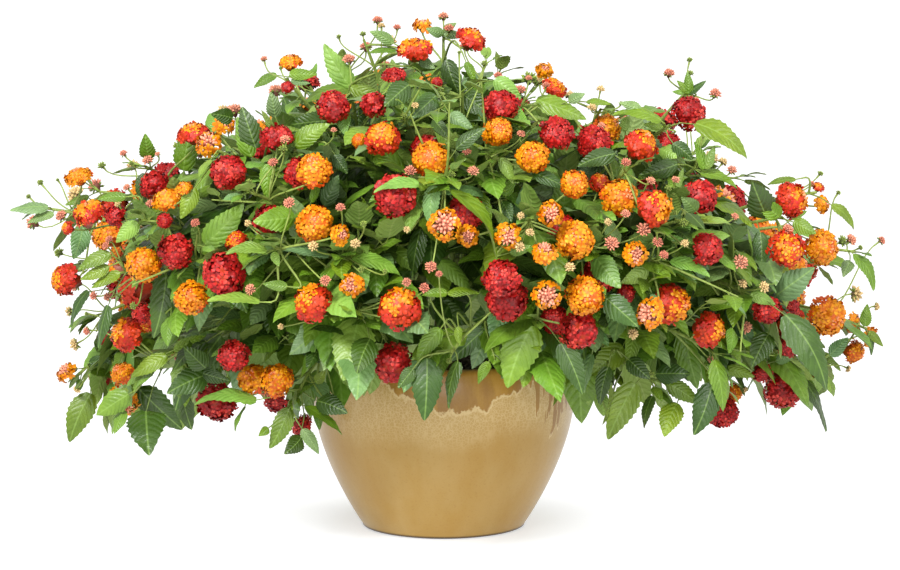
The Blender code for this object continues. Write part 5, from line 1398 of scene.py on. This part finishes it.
def fine_cane(pile, points):
    foot, over, knee, fork = (np.array(point) for point in points)
    lean, rest = (fork - over) * 0.18, fork - knee
    rise = bend((over, over + (over - foot) * 0.3, knee - lean, knee), 7)
    last = bend((knee, knee + lean, fork - rest * 0.25, fork + rest * 0.03), 8)
    line = np.concatenate([foot[None, :], rise, last[1:]])
    bumps = np.array([1.0 + 0.10 * (k % 4 == 2) for k in range(len(line))])
    radii = np.linspace(CANE_RADIUS, FORK_RADIUS, len(line)) * bumps
    radii[-1] = FORK_RADIUS * 0.8
    tints = np.array([mixed(BARK_BROWN, stem_tint(0.25), k / len(line)) for k in range(len(line))])
    add_tube(pile, line, radii, CANE_FINE, tints)
    add_ball(pile, line[-1], unit(line[-1] - line[-2]), FORK_RADIUS * 0.84, tints[-1])


def fine_shoot(pile, curve):
    places = np.linspace(0.0, 1.0, SHOOT_STEPS)
    line = [on_curve(curve, t) for t in places]
    radii = np.interp(places, np.linspace(0, 1, len(SHOOT_RADII)), SHOOT_RADII) * 0.94
    radii = radii * (1.0 + 0.14 * (np.arange(SHOOT_STEPS) % 3 == 1))
    tints = np.array([stem_tint(0.22 + 0.78 * t) for t in places])
    add_tube(pile, line, radii, SHOOT_FINE, tints)


def fine_leaf(branch, root, leaf_place, tone, detail, seed, arch=PLAIN_ARCH):
    base, tip, normal, width = leaf_place
    draw = random.Random(seed + 17)
    tint = np.asarray(LEAF_TONES[tone]) * draw.uniform(0.82, 1.2)
    tint = tint * np.array((draw.uniform(0.85, 1.15), 1.0, draw.uniform(0.8, 1.2)))
    add_petiole(branch.leaves, root, base, unit(np.array(tip - base)), mixed(tint, STEM_LIGHT, 0.6))
    add_leaf(branch.leaves, detail, base, tip, normal, width, tint, seed, arch)


def hand_read_leaf(branch, root, leaf_place, tone, seed):
    arch = STRONG_ARCH if tone.endswith("a") else READ_ARCH
    fine_leaf(branch, root, leaf_place, tone[0], "fine", seed, arch)


def seat(spot, shoots, axis, longest):
    """(shoot, place, point) of the best root for a stalk to this spot, near or far."""
    for reach in (longest, 2 * longest, 6 * longest):
        found = roots_for(spot, axis, shoots, 0.006, reach)
        if found:
            return found[0]
    return 0, 0.9, along_line(shoots[0][1], 0.9)


def more_front_leaf(entry, number, shoots, branches, mask):
    """A leaf that the picture shows and the solids leave out, on the nearest shoot or a twig of its own."""
    near = front_leaf_roots(entry, shoots)
    if near:
        shoot, place, root = near[0]
        blade = front_leaf(entry, min(root.y - 0.012, mound_depth(entry[0], entry[1]) + 0.05))
    else:
        blade = front_leaf(entry, mound_depth(entry[0], entry[1]) + 0.012 * wobble(number, 11))
        shoot, place, root = seat(blade[0], shoots, (blade[1] - blade[0]).normalized(), 0.05)
    cane, _, curve = shoots[shoot]
    branch = branches[cane]
    root = on_curve(curve, place)
    way = (blade[1] - blade[0]).normalized()
    if (blade[0] - root).length > 0.02:
        end = blade[0] - way * 0.010
        add_twig(branch, root, on_curve(curve, min(place + 0.05, 1.0)) - on_curve(curve, place), end, way)
        root = end
    hand_read_leaf(branch, root, blade, entry[5], 5000 + number)
    mask.blade(*blade)


def add_twig(branch, root, along, end, way):
    """A thin side twig from a shoot to a point. Its line is given back."""
    root, end = np.array(root), np.array(end)
    reach = np.linalg.norm(end - root)
    out = unit(unit(np.array(along)) * 0.6 + unit(end - root))
    bends = (root - out * 0.001, root + out * reach * 0.35, end - np.array(way) * reach * 0.3, end)
    line = bend(bends, TWIG_STEPS)
    radii = np.linspace(TWIG_RADIUS * 1.5, TWIG_RADIUS * 0.8, TWIG_STEPS)
    tints = np.array([stem_tint(0.5 + 0.05 * k) for k in range(TWIG_STEPS)])
    add_tube(branch.stems, line, radii, TWIG_SIDES, tints)
    return line


def fill_tone(inner, draw):
    """Leaves are lighter towards the surface and darker inside."""
    if inner < INNER_DEPTH:
        return draw.choice("DMM")
    if inner < MIDDLE_DEPTH:
        return draw.choice("DMMG")
    return draw.choice("MMMLLGDB")


def try_fill_leaf(branch, root, way, longest, draw, mask, seed, tone=None):
    """One leaf by rule, left out where it would hide a thing that the picture shows, or leave the bush."""
    inner = inwardness(root)
    out = outward(root)
    for attempt, share in enumerate(LEAF_TRIES):
        length = longest * share
        sway = Vector([draw.gauss(0.0, 0.22) for _ in range(3)])
        heading = (way + out * 0.35 + sway - UP * 0.12 * attempt).normalized()
        base = root + heading * draw.uniform(0.008, 0.014)
        tip = base + heading * length - UP * length * draw.uniform(0.05, 0.35)
        normal = (out * draw.uniform(0.1, 0.9) + UP * 0.8 + sway).normalized()
        width = (tip - base).length * draw.uniform(0.50, 0.62)
        points = blade_points(base, tip, normal, width)
        fits = inside_limits([base, tip, *points[::4]], tone is not None)
        if fits and mask.hidden_share(points) < MOST_HIDING:
            detail = "plain" if inner < INNER_DEPTH or length < SMALL_BLADE else "medium"
            fine_leaf(branch, root, (base, tip, normal, width), tone or fill_tone(inner, draw), detail, seed)
            return True
    return False


def side_ways(along, turn):
    """Two opposite directions off a shoot, turned a quarter at every other pair."""
    side = along.cross(UP)
    if side.length < 0.2:
        side = along.cross(Vector((0.0, 1.0, 0.1)))
    side.normalize()
    other = side.cross(along).normalized()
    first = side * math.cos(turn) + other * math.sin(turn)
    return first, -first


def fill_shoot(number, shoot, branch, mask):
    """Leaf pairs all along a shoot, twigs with leaves of their own, and small bright leaves at its tip."""
    _, _, curve = shoot
    draw = random.Random(9000 + number)
    length = sum((on_curve(curve, (k + 1) / 12) - on_curve(curve, k / 12)).length for k in range(12))
    count = max(4, round(length * (1 - FIRST_NODE) / NODE_STEP))
    start_turn = draw.uniform(0.0, 3.0)
    for k in range(count + 1):
        place = FIRST_NODE + (1 - FIRST_NODE) * k / count
        root = on_curve(curve, place)
        along = (on_curve(curve, min(place + 0.02, 1.02)) - on_curve(curve, place - 0.02)).normalized()
        turn = start_turn + (math.pi / 2) * (k % 2) + 0.3 * k
        for which, side in enumerate(side_ways(along, turn)):
            seed = number * 1000 + k * 10 + which
            way = side + along * (0.35 + 0.5 * place)
            size = draw.uniform(*BIG_LEAF) * (1.0 if place < 0.92 else 0.72)
            try_fill_leaf(branch, root, way.normalized(), size, draw, mask, seed)
            if place > TWIG_FROM and draw.random() < TWIG_SHARE:
                fill_twig(branch, root, along, side, draw, mask, seed + 5)
    tip = on_curve(curve, 1.0)
    along = (tip - on_curve(curve, 0.95)).normalized()
    for k in range(4):
        side = side_ways(along, start_turn + 0.8 * k)[k % 2]
        small = draw.uniform(*SMALL_LEAF)
        way, seed = (along + side * 0.55).normalized(), number * 1000 + 900 + k
        try_fill_leaf(branch, tip, way, small, draw, mask, seed, draw.choice("BLM"))


def fill_twig(branch, root, along, side, draw, mask, seed):
    """A side twig with two leaf pairs and an end leaf."""
    way = (side + along * 0.7 + UP * draw.uniform(-0.1, 0.35) + outward(root) * 0.4).normalized()
    end = root + way * draw.uniform(*TWIG_LENGTH)
    middle = (root + end) / 2
    if not inside_limits([middle, end]) or mask.hidden_share([middle, end]) > 0:
        return
    line = add_twig(branch, root, along, end, way)
    for k, place in enumerate((4, 6)):
        spot = Vector(line[place])
        for which, out in enumerate(side_ways(way, seed * 0.7 + k * math.pi / 2)):
            heading, size = (out + way * 0.6).normalized(), draw.uniform(*TWIG_LEAF)
            try_fill_leaf(branch, spot, heading, size, draw, mask, seed * 10 + 2 * k + which)
    try_fill_leaf(branch, end, way, draw.uniform(*END_LEAF), draw, mask, seed * 10 + 9)


def bloom_stalk(pile, shoot, place, neck, axis, radius):
    """The stalk of a head or bud, from its place on the shoot to its neck."""
    curve = shoot[2]
    way = on_curve(curve, min(place + 0.05, 1.0)) - on_curve(curve, place - 0.05)
    add_stalk(pile, on_curve(curve, place), unit(np.array(way)), neck, axis, radius, STEM_LIGHT)


def fine_head(branch, shoot, place, centre, axis, across, kind, seed):
    neck = centre - axis * across * 0.5 * HEAD_DROP * 2.0
    bloom_stalk(branch.blooms, shoot, place, neck, axis, STALK_RADIUS * 0.85)
    add_head(branch.blooms, centre, axis, across, kind, seed)


def fine_bud(branch, shoot, place, centre, axis, across, kind, seed):
    neck = centre - axis * across * 0.30
    bloom_stalk(branch.buds, shoot, place, neck, axis, BUD_STALK_RADIUS * 0.8)
    add_bud(branch.buds, centre, axis, across, kind, seed)


def shows_near(entry, points, reach):
    """Whether one of these points shows within this many centimetres of the entry's place in the picture."""
    return any(math.dist(seen_at(point), entry[:2]) < reach for point in points)


def seated(centre, axis, across, kind, shoots):
    """(shoot, place, centre, axis, width, kind) of a head or bud of this picture size, on its best root."""
    shoot, place, _ = seat(centre, shoots, axis, STALK_REACH)
    return shoot, place, centre, axis, across * 0.01 * nearness(centre.y), kind


def lost_heads(heads, shoots):
    """The heads that the picture shows and the solids had no room for."""
    found = []
    for x, z, across, kind, faces in FRONT_HEADS:
        if not shows_near((x, z), [head[2] for head in heads], 1.0):
            centre = on_view(x, z, mound_depth(x, z) + 0.012)
            found.append(seated(centre, head_axis(centre, faces), across, kind, shoots))
    return found


def lost_buds(buds, shoots):
    found = []
    for x, z, across, kind in FRONT_BUDS:
        if not shows_near((x, z), [bud[2] for bud in buds], 0.6):
            centre = on_view(x, z, mound_depth(x, z))
            found.append(seated(centre, bud_axis(centre), across, kind, shoots))
    return found


def lost_leaves(leaves):
    """The leaves that the picture shows and the solids had no root for."""
    def is_there(entry):
        ends = ((leaf[2], leaf[3]) for leaf in leaves)
        return any(shows_near(entry, [base], 0.7) and shows_near(entry[2:], [tip], 1.2) for base, tip in ends)

    return [entry for entry in FRONT_LEAVES if not is_there(entry)]


def more_buds(shoots, branches, mask, heads):
    """Buds that the picture shows and the solids leave out, and more of them round the back."""
    for number, (x, z, across, kind) in enumerate(MORE_BUDS):
        centre = on_view(x, z, mound_depth(x, z) - 0.006 + 0.01 * wobble(number, 21))
        shoot, *bud_place = seated(centre, bud_axis(centre), across, kind, shoots)
        fine_bud(branches[shoots[shoot][0]], shoots[shoot], *bud_place, 7000 + number)
        mask.disc(centre, bud_place[3] * 0.5)
    for number, spot in enumerate(back_spots(BACK_BUDS, 1.1, OUTLINE_MARGIN)):
        if any((spot - head[2]).length < BUD_FROM_HEAD for head in heads):
            continue
        axis = (outward(spot) + UP * 0.5).normalized()
        shoot, place, _ = seat(spot, shoots, axis, STALK_REACH)
        across, kind = between(BACK_BUD, number, 31), "ppgtt"[number % 5]
        fine_bud(branches[shoots[shoot][0]], shoots[shoot], place, spot, axis, across, kind, 8000 + number)


def show_blooms(entries, shoots, branches, mask, grow, seed):
    """Grows the heads or buds of a list, and keeps those of the front in sight."""
    for number, (shoot, place, *bloom) in enumerate(entries):
        grow(branches[shoots[shoot][0]], shoots[shoot], place, *bloom, seed + number)
        if bloom[0].y < SHOWN_UP_TO or grow is fine_bud:
            mask.disc(bloom[0], bloom[2] * 0.5)


def show_leaves(leaves, shoots, branches, mask):
    """Grows the solids' leaves finely, and keeps those that the picture shows in sight."""
    for number, (shoot, place, *blade, tone) in enumerate(leaves):
        cane, _, curve = shoots[shoot]
        root = on_curve(curve, place)
        if tone == "M":
            fine_leaf(branches[cane], root, blade, tone, "medium", 4000 + number)
        else:
            hand_read_leaf(branches[cane], root, blade, tone, 4000 + number)
            mask.blade(*blade)


def grow_plant():
    """Every cane's fine pieces, on the solids' own lines and places."""
    taken = []
    take(pot_shape(), "pot", taken)
    canes, shoots = grow_stems(taken)
    take(soil_shape(), "soil", taken)
    heads = grow_heads(shoots, taken)
    buds = grow_buds(shoots, taken)
    leaves = grow_leaves(shoots, taken)
    branches = [Branch() for _ in canes]
    mask = Mask()
    for number, points in enumerate(canes):
        fine_cane(branches[number].stems, points)
    for cane, _, curve in shoots:
        fine_shoot(branches[cane].stems, curve)
    show_blooms(heads + lost_heads(heads, shoots), shoots, branches, mask, fine_head, 100)
    show_blooms(buds + lost_buds(buds, shoots), shoots, branches, mask, fine_bud, 3000)
    more_buds(shoots, branches, mask, heads)
    show_leaves(leaves, shoots, branches, mask)
    for number, entry in enumerate(MORE_LEAVES + lost_leaves(leaves)):
        more_front_leaf(entry, number, shoots, branches, mask)
    for number, shoot in enumerate(shoots):
        fill_shoot(number, shoot, branches[shoot[0]], mask)
    return branches


# Looks

class Shades:
    """Small helper round one material's nodes."""

    def __init__(self, name):
        self.material = bpy.data.materials.new(name)
        self.material.use_nodes = True
        self.nodes, self.links = self.material.node_tree.nodes, self.material.node_tree.links
        self.shader = self.nodes["Principled BSDF"]

    def add(self, kind, **values):
        node = self.nodes.new(kind)
        for key, value in values.items():
            setattr(node, key, value)
        return node

    def link(self, source, target):
        self.links.new(source, target)

    def put(self, socket, value):
        if isinstance(value, bpy.types.NodeSocket):
            self.link(value, socket)
        elif isinstance(value, tuple) and len(value) == 3 and socket.type == "RGBA":
            socket.default_value = (*value, 1.0)
        else:
            socket.default_value = value

    def math(self, operation, *values, clamp=False):
        node = self.add("ShaderNodeMath", operation=operation, use_clamp=clamp)
        for socket, value in zip(node.inputs, values):
            self.put(socket, value)
        return node.outputs[0]

    def mix(self, share, first, second, blend="MIX"):
        node = self.add("ShaderNodeMix", data_type="RGBA", blend_type=blend)
        self.put(node.inputs[0], share)
        self.put(node.inputs[6], first)
        self.put(node.inputs[7], second)
        return node.outputs[2]

    def times(self, first, second):
        return self.math("MULTIPLY", first, second)

    def plus(self, first, second):
        return self.math("ADD", first, second)

    def minus(self, first, second, clamp=False):
        return self.math("SUBTRACT", first, second, clamp=clamp)

    def noise(self, scale, detail, stretch=None):
        node = self.add("ShaderNodeTexNoise")
        node.inputs["Scale"].default_value = scale
        node.inputs["Detail"].default_value = detail
        node.inputs["Roughness"].default_value = NOISE_ROUGHNESS
        source = self.place()
        if stretch:
            mapping = self.add("ShaderNodeMapping")
            mapping.inputs["Scale"].default_value = stretch
            self.link(source, mapping.inputs["Vector"])
            source = mapping.outputs[0]
        self.link(source, node.inputs["Vector"])
        return node.outputs[0]

    def cells(self, feature, scale):
        node = self.add("ShaderNodeTexVoronoi", feature=feature)
        node.inputs["Scale"].default_value = scale
        self.link(self.place(), node.inputs["Vector"])
        return node

    def place(self):
        return self.add("ShaderNodeTexCoord").outputs["Object"]

    def parts(self, vector):
        node = self.add("ShaderNodeSeparateXYZ")
        self.link(vector, node.inputs[0])
        return node.outputs

    def tint(self):
        return self.add("ShaderNodeVertexColor", layer_name="tint").outputs[0]

    def mottled(self, share, darkest):
        """The piece's own tint, darker by this factor where the share is 0."""
        return self.mix(share, self.mix(1.0, self.tint(), darkest, "MULTIPLY"), self.tint())

    def smooth(self, value, low, high):
        node = self.add("ShaderNodeMapRange", interpolation_type="SMOOTHSTEP")
        self.put(node.inputs[0], value)
        self.put(node.inputs[1], low)
        self.put(node.inputs[2], high)
        return node.outputs[0]

    def bump(self, height, distance, strength):
        node = self.add("ShaderNodeBump")
        node.inputs["Strength"].default_value = strength
        node.inputs["Distance"].default_value = distance
        self.link(height, node.inputs["Height"])
        self.link(node.outputs[0], self.shader.inputs["Normal"])

    def finish(self, colour, roughness, **values):
        self.put(self.shader.inputs["Base Color"], colour)
        self.put(self.shader.inputs["Roughness"], roughness)
        for key, value in values.items():
            self.put(self.shader.inputs[key.replace("_", " ")], value)
        return self.material


def leaf_relief(s):
    """(veins, rib, pillow, blisters): side veins run forward to the edge, and the blade bulges between."""
    across, along, _ = s.parts(s.add("ShaderNodeUVMap", uv_map="leaf_place").outputs[0])
    away = s.times(s.math("ABSOLUTE", s.minus(across, 0.5)), 2.0)
    sweep = s.times(s.math("POWER", away, 1.5), 2.3)
    run = s.plus(s.minus(s.times(along, 7.5), sweep), s.times(s.noise(75.0, 2.0), 0.70))
    saw = s.math("ABSOLUTE", s.minus(s.math("FRACT", run), 0.5))
    rib = s.minus(1.0, s.smooth(away, 0.015, 0.075))
    veins = s.math("MAXIMUM", s.smooth(saw, 0.43, 0.5), rib)
    pillow = s.minus(1.0, s.smooth(saw, 0.10, 0.5))
    crinkle = s.cells("SMOOTH_F1", 480.0)
    crinkle.inputs["Smoothness"].default_value = 0.4
    return veins, rib, pillow, s.minus(1.0, crinkle.outputs[0])


def leaf_top(s, veins, rib, blisters):
    """The colour of the upper side: blotched, with painted shade in its creases, and paler at its veins."""
    tint = s.tint()
    dark = s.mix(1.0, tint, LEAF_DARK, "MULTIPLY")
    colour = s.mix(s.smooth(s.noise(55.0, 3.0), 0.30, 0.70), dark, tint)
    # Painted shade: darker where the blade's crinkles dip.
    crease_shade = s.times(s.minus(1.0, blisters), 0.40)
    colour = s.mix(crease_shade, colour, s.mix(1.0, tint, LEAF_CREASE_SHADE, "MULTIPLY"))
    colour = s.mix(s.times(veins, 0.14), colour, s.mix(0.4, tint, LEAF_PALE))
    return s.mix(s.times(rib, 0.32), colour, LEAF_RIB)


def leaf_look(name, under):
    s = Shades(name)
    veins, rib, pillow, blisters = leaf_relief(s)
    if under:
        colour = s.mix(s.times(veins, 0.4), s.mix(0.45, s.tint(), UNDER_PALE), UNDER_VEIN)
    else:
        colour = leaf_top(s, veins, rib, blisters)
    s.bump(s.plus(s.times(pillow, -0.5 if under else 0.52), s.times(blisters, 0.28)), 0.0009, 0.8)
    return s.finish(colour, 0.62 if under else 0.41, Specular_IOR_Level=0.42)


def stem_look():
    s = Shades("stem_green")
    streak = s.noise(260.0, 3.0, (1.0, 1.0, 0.25))
    colour = s.mottled(s.smooth(streak, 0.35, 0.7), STEM_DARK)
    s.bump(streak, 0.0005, 0.6)
    return s.finish(colour, 0.55, Specular_IOR_Level=0.35)


def petal_look():
    s = Shades("petals")
    colour = s.mottled(s.smooth(s.noise(420.0, 2.0), 0.25, 0.75), PETAL_DARK)
    s.bump(s.noise(1400.0, 2.0), 0.0003, 0.5)
    return s.finish(colour, 0.45, Specular_IOR_Level=0.30)


def bud_look():
    s = Shades("bud_skin")
    colour = s.mottled(s.smooth(s.noise(700.0, 3.0), 0.3, 0.7), BUD_DARK)
    s.bump(s.noise(1800.0, 2.0), 0.0003, 0.6)
    return s.finish(colour, 0.60, Specular_IOR_Level=0.25)


def glaze_ground(s, run, fleck):
    """The tan glaze, clouded and flecked."""
    colour = s.mix(s.smooth(run, 0.30, 0.72), GLAZE_TAN, GLAZE_PALE)
    colour = s.mix(s.times(s.smooth(s.noise(9.0, 4.0), 0.35, 0.70), 0.4), colour, GLAZE_CLOUD)
    return s.mix(s.times(s.smooth(fleck, 0.52, 0.74), 0.30), colour, GLAZE_FLECK)


def glaze_crackle(s, colour, up):
    """A paler upper zone with a fine crackle."""
    zone = s.smooth(s.plus(up, s.times(s.noise(14.0, 3.0), 0.05)), 0.125, 0.165)
    lines = s.minus(1.0, s.smooth(s.cells("DISTANCE_TO_EDGE", 300.0).outputs[0], 0.02, 0.14))
    weave = s.math("MAXIMUM", lines, s.smooth(s.noise(240.0, 3.0, (1.0, 1.0, 0.4)), 0.52, 0.66))
    colour = s.mix(s.times(zone, 0.35), colour, GLAZE_UPPER)
    return s.mix(s.times(s.times(weave, zone), 0.45), colour, CRACKLE)


def painted_reflection_level(s, across, up):
    """Height over the ragged lower edge of the painted reflection of the leaves, which climbs away from the
    front and drips at the right.
    """
    coarse, fine = s.noise(60.0, 4.0, (1.0, 1.0, 0.35)), s.noise(330.0, 2.0)
    ragged = s.plus(s.times(coarse, 0.034), s.times(fine, 0.008))
    aside = s.minus(s.math("ABSOLUTE", s.minus(across, 0.014)), 0.030)
    lift = s.times(s.math("MAXIMUM", aside, 0.0), 0.55)
    streak = s.times(s.smooth(s.noise(105.0, 2.0, (1.0, 1.0, 0.05)), 0.44, 0.60), 0.072)
    drip = s.times(streak, s.smooth(across, 0.088, 0.106))
    return s.plus(s.minus(s.minus(up, ragged), lift), drip)


def glaze_look():
    """A tan runny glaze with fine crackle, and under the rim a ragged golden brown band: a painted reflection
    of the leaves.
    """
    s = Shades("tan_glaze")
    across, _, up = s.parts(s.place())
    run, fleck = s.noise(26.0, 5.0, (1.0, 1.0, 0.16)), s.noise(420.0, 4.0)
    colour = glaze_crackle(s, glaze_ground(s, run, fleck), up)
    # Painted reflection of the leaves: the ragged golden brown band under the rim, and its pale edge.
    level = painted_reflection_level(s, across, up)
    band = s.smooth(level, 0.1270, 0.1300)
    edge = s.minus(s.smooth(level, 0.1235, 0.1265), band, clamp=True)
    flow = s.smooth(s.noise(60.0, 5.0, (1.0, 1.0, 0.3)), 0.35, 0.68)
    colour = s.mix(s.times(band, 0.88), colour, s.mix(flow, PAINTED_REFLECTION, PAINTED_REFLECTION_LIGHT))
    colour = s.mix(s.times(edge, 0.6), colour, PAINTED_REFLECTION_EDGE)
    # Painted shade darkens the pot's left side, and the pot is near black at its very foot.
    thick = s.times(s.minus(1.0, s.smooth(across, -0.150, -0.060)), 0.30)
    colour = s.mix(thick, colour, GLAZE_LEFT_SHADE)
    colour = s.mix(s.minus(1.0, s.smooth(up, 0.0015, 0.0045)), colour, GLAZE_DARK)
    height = s.plus(s.times(run, 0.6), s.times(band, 0.4))
    s.bump(s.plus(height, s.times(s.noise(90.0, 2.0), 0.15)), 0.0012, 0.5)
    roughness = s.plus(0.24, s.times(fleck, 0.16))
    return s.finish(colour, roughness, Specular_IOR_Level=0.30, Coat_Weight=0.12, Coat_Roughness=0.10)


def soil_look():
    s = Shades("dark_soil")
    grain = s.noise(190.0, 5.0)
    s.bump(grain, 0.003, 1.0)
    return s.finish(s.mix(s.smooth(grain, 0.3, 0.7), SOIL_DARK, SOIL_PALE), 0.92)


# Pot, soil and studio

def pot_profile():
    """(radius, height) pairs of the finely turned pot: its outside, its lip and its inside."""
    profile = [(POT_BASE_RADIUS - POT_ROUNDING, 0.0)]
    profile.append((pot_radius(POT_ROUNDING) - FOOT_TRIM, POT_ROUNDING * 0.4))
    profile += [(pot_radius(z), z) for z in np.linspace(POT_ROUNDING, OUTER_TOP, OUTER_RINGS)]
    profile.append((POT_RIM_RADIUS - RIM_OUTER_DROP, POT_RIM_Z - RIM_OUTER_DROP))
    for k in range(1, LIP_STEPS):
        angle = math.pi * k / LIP_STEPS
        radius = POT_RIM_RADIUS - POT_WALL * (0.5 - LIP_SPREAD * math.cos(angle))
        profile.append((radius, POT_RIM_Z - LIP_RISE + LIP_RISE * math.sin(angle)))
    profile += [(pot_radius(z) - POT_WALL, z) for z in np.linspace(INNER_TOP, POT_FLOOR, INNER_RINGS)]
    return profile


def make_pot(glaze):
    """The pot turned finely from the same profile as its solid."""
    profile = pot_profile()
    rings = [flat_ring(radius, z, POT_FACETS) for radius, z in profile]
    points = np.concatenate([*rings, [(0.0, 0.0, 0.0), (0.0, 0.0, POT_FLOOR)]])
    pile = Pile()
    pile.add(points, strips(len(profile), POT_FACETS), WHITE)
    last = (len(profile) - 1) * POT_FACETS
    caps = []
    for k in range(POT_FACETS):
        after = (k + 1) % POT_FACETS
        caps += [(after, k, len(points) - 2), (last + k, last + after, len(points) - 1)]
    pile.cap(caps, len(points))
    made = pile.piece("glazed_pot", [glaze])
    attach(made, "root")
    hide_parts("pot")


def make_soil(soil):
    """Crumbs and bark bits strewn over the soil, clear of the pot."""
    draw = random.Random(61)
    pile = Pile()
    for _ in range(CRUMBS):
        reach, around = CRUMB_REACH * math.sqrt(draw.random()), draw.uniform(0, 6.3)
        size = draw.uniform(*CRUMB_SIZE)
        spot = np.array((reach * math.cos(around), reach * math.sin(around), SOIL_Z + size * 0.25))
        axis = unit(np.array([draw.gauss(0, 1) for _ in range(3)]))
        add_ball(pile, spot, axis, size, WHITE, draw.uniform(*CRUMB_FLATNESS))
    crumbs = pile.piece("soil_crumbs", [soil])
    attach(crumbs, "root")


def make_floor():
    """A wide floor that glows away from the pot, so that only the shadow near it shows."""
    rings = [flat_ring(radius, 0.0, FLOOR_SIDES) for radius in (FLOOR_RADIUS, FLOOR_NEAR)]
    points = np.concatenate([*rings, [(0.0, 0.0, 0.0)]])
    near = [FLOOR_SIDES + k for k in range(FLOOR_SIDES)]
    pile = Pile()
    pile.add(points, strips(2, FLOOR_SIDES), WHITE)
    pile.cap([(a, b, len(points) - 1) for a, b in zip(near, near[1:] + near[:1])], len(points))
    s = Shades("pale_floor")
    s.put(s.shader.inputs["Emission Color"], WHITE)
    reach = s.add("ShaderNodeVectorMath", operation="LENGTH")
    s.link(s.place(), reach.inputs[0])
    away = s.smooth(reach.outputs["Value"], *SHADOW_REACH)
    glow = s.plus(0.50, s.times(away, 0.50))
    colour = s.mix(away, FLOOR_SHADE, FLOOR_PALE)
    look = s.finish(colour, 0.75, Specular_IOR_Level=0.1, Emission_Strength=glow)
    floor = pile.piece("floor", [look])


def set_up(name, data, spot, aim):
    """A lamp or camera at one point, turned to another."""
    made = bpy.data.objects.new(name, data)
    made.location = spot
    made.rotation_euler = (aim - spot).to_track_quat("-Z", "Y").to_euler()
    bpy.context.scene.collection.objects.link(made)
    return made


def make_lights():
    world = bpy.data.worlds.new("studio")
    world.use_nodes = True
    background = world.node_tree.nodes["Background"]
    background.inputs[0].default_value = (*WHITE, 1.0)
    background.inputs[1].default_value = WORLD_LIGHT
    bpy.context.scene.world = world
    for name, spot, size, power in LAMPS:
        data = bpy.data.lights.new(name, "AREA")
        data.shape, data.size, data.energy = "DISK", size, power
        set_up(name, data, Vector(spot), Vector(AIM_LIGHT))


def make_camera():
    data = bpy.data.cameras.new("camera")
    data.lens, data.sensor_width = SENSOR * FOCAL_PIXELS / PICTURE_PIXELS, SENSOR
    data.clip_end = CLIP_END
    bpy.context.scene.camera = set_up("camera", data, EYE, Vector((EYE.x, 0.0, AIM_Z)))
    bpy.context.scene.view_settings.view_transform = "Standard"


def main():
    top, under = leaf_look("leaf_top", False), leaf_look("leaf_under", True)
    stem, petal, bud_skin, soil = stem_look(), petal_look(), bud_look(), soil_look()
    branches = grow_plant()
    for number, branch in enumerate(branches):
        name = f"branch_{number + 1:02d}"
        made = [
            (branch.stems, "stems", [stem]), (branch.leaves, "leaves", [top, under, stem]),
            (branch.blooms, "blooms", [petal, petal, stem]),
            (branch.buds, "buds", [bud_skin, bud_skin, stem]),
        ]
        for pile, label, materials in made:
            if not pile.faces:
                continue
            piece = pile.piece(f"{name}_{label}", materials)
            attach(piece, "root")
            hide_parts(name)
    glaze = glaze_look()
    make_pot(glaze)
    make_soil(soil)
    for name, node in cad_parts.items():
        node.data.materials.clear()
        node.data.materials.append({"pot": glaze, "soil": soil}.get(name, stem))
    make_floor()
    make_lights()
    make_camera()


main()
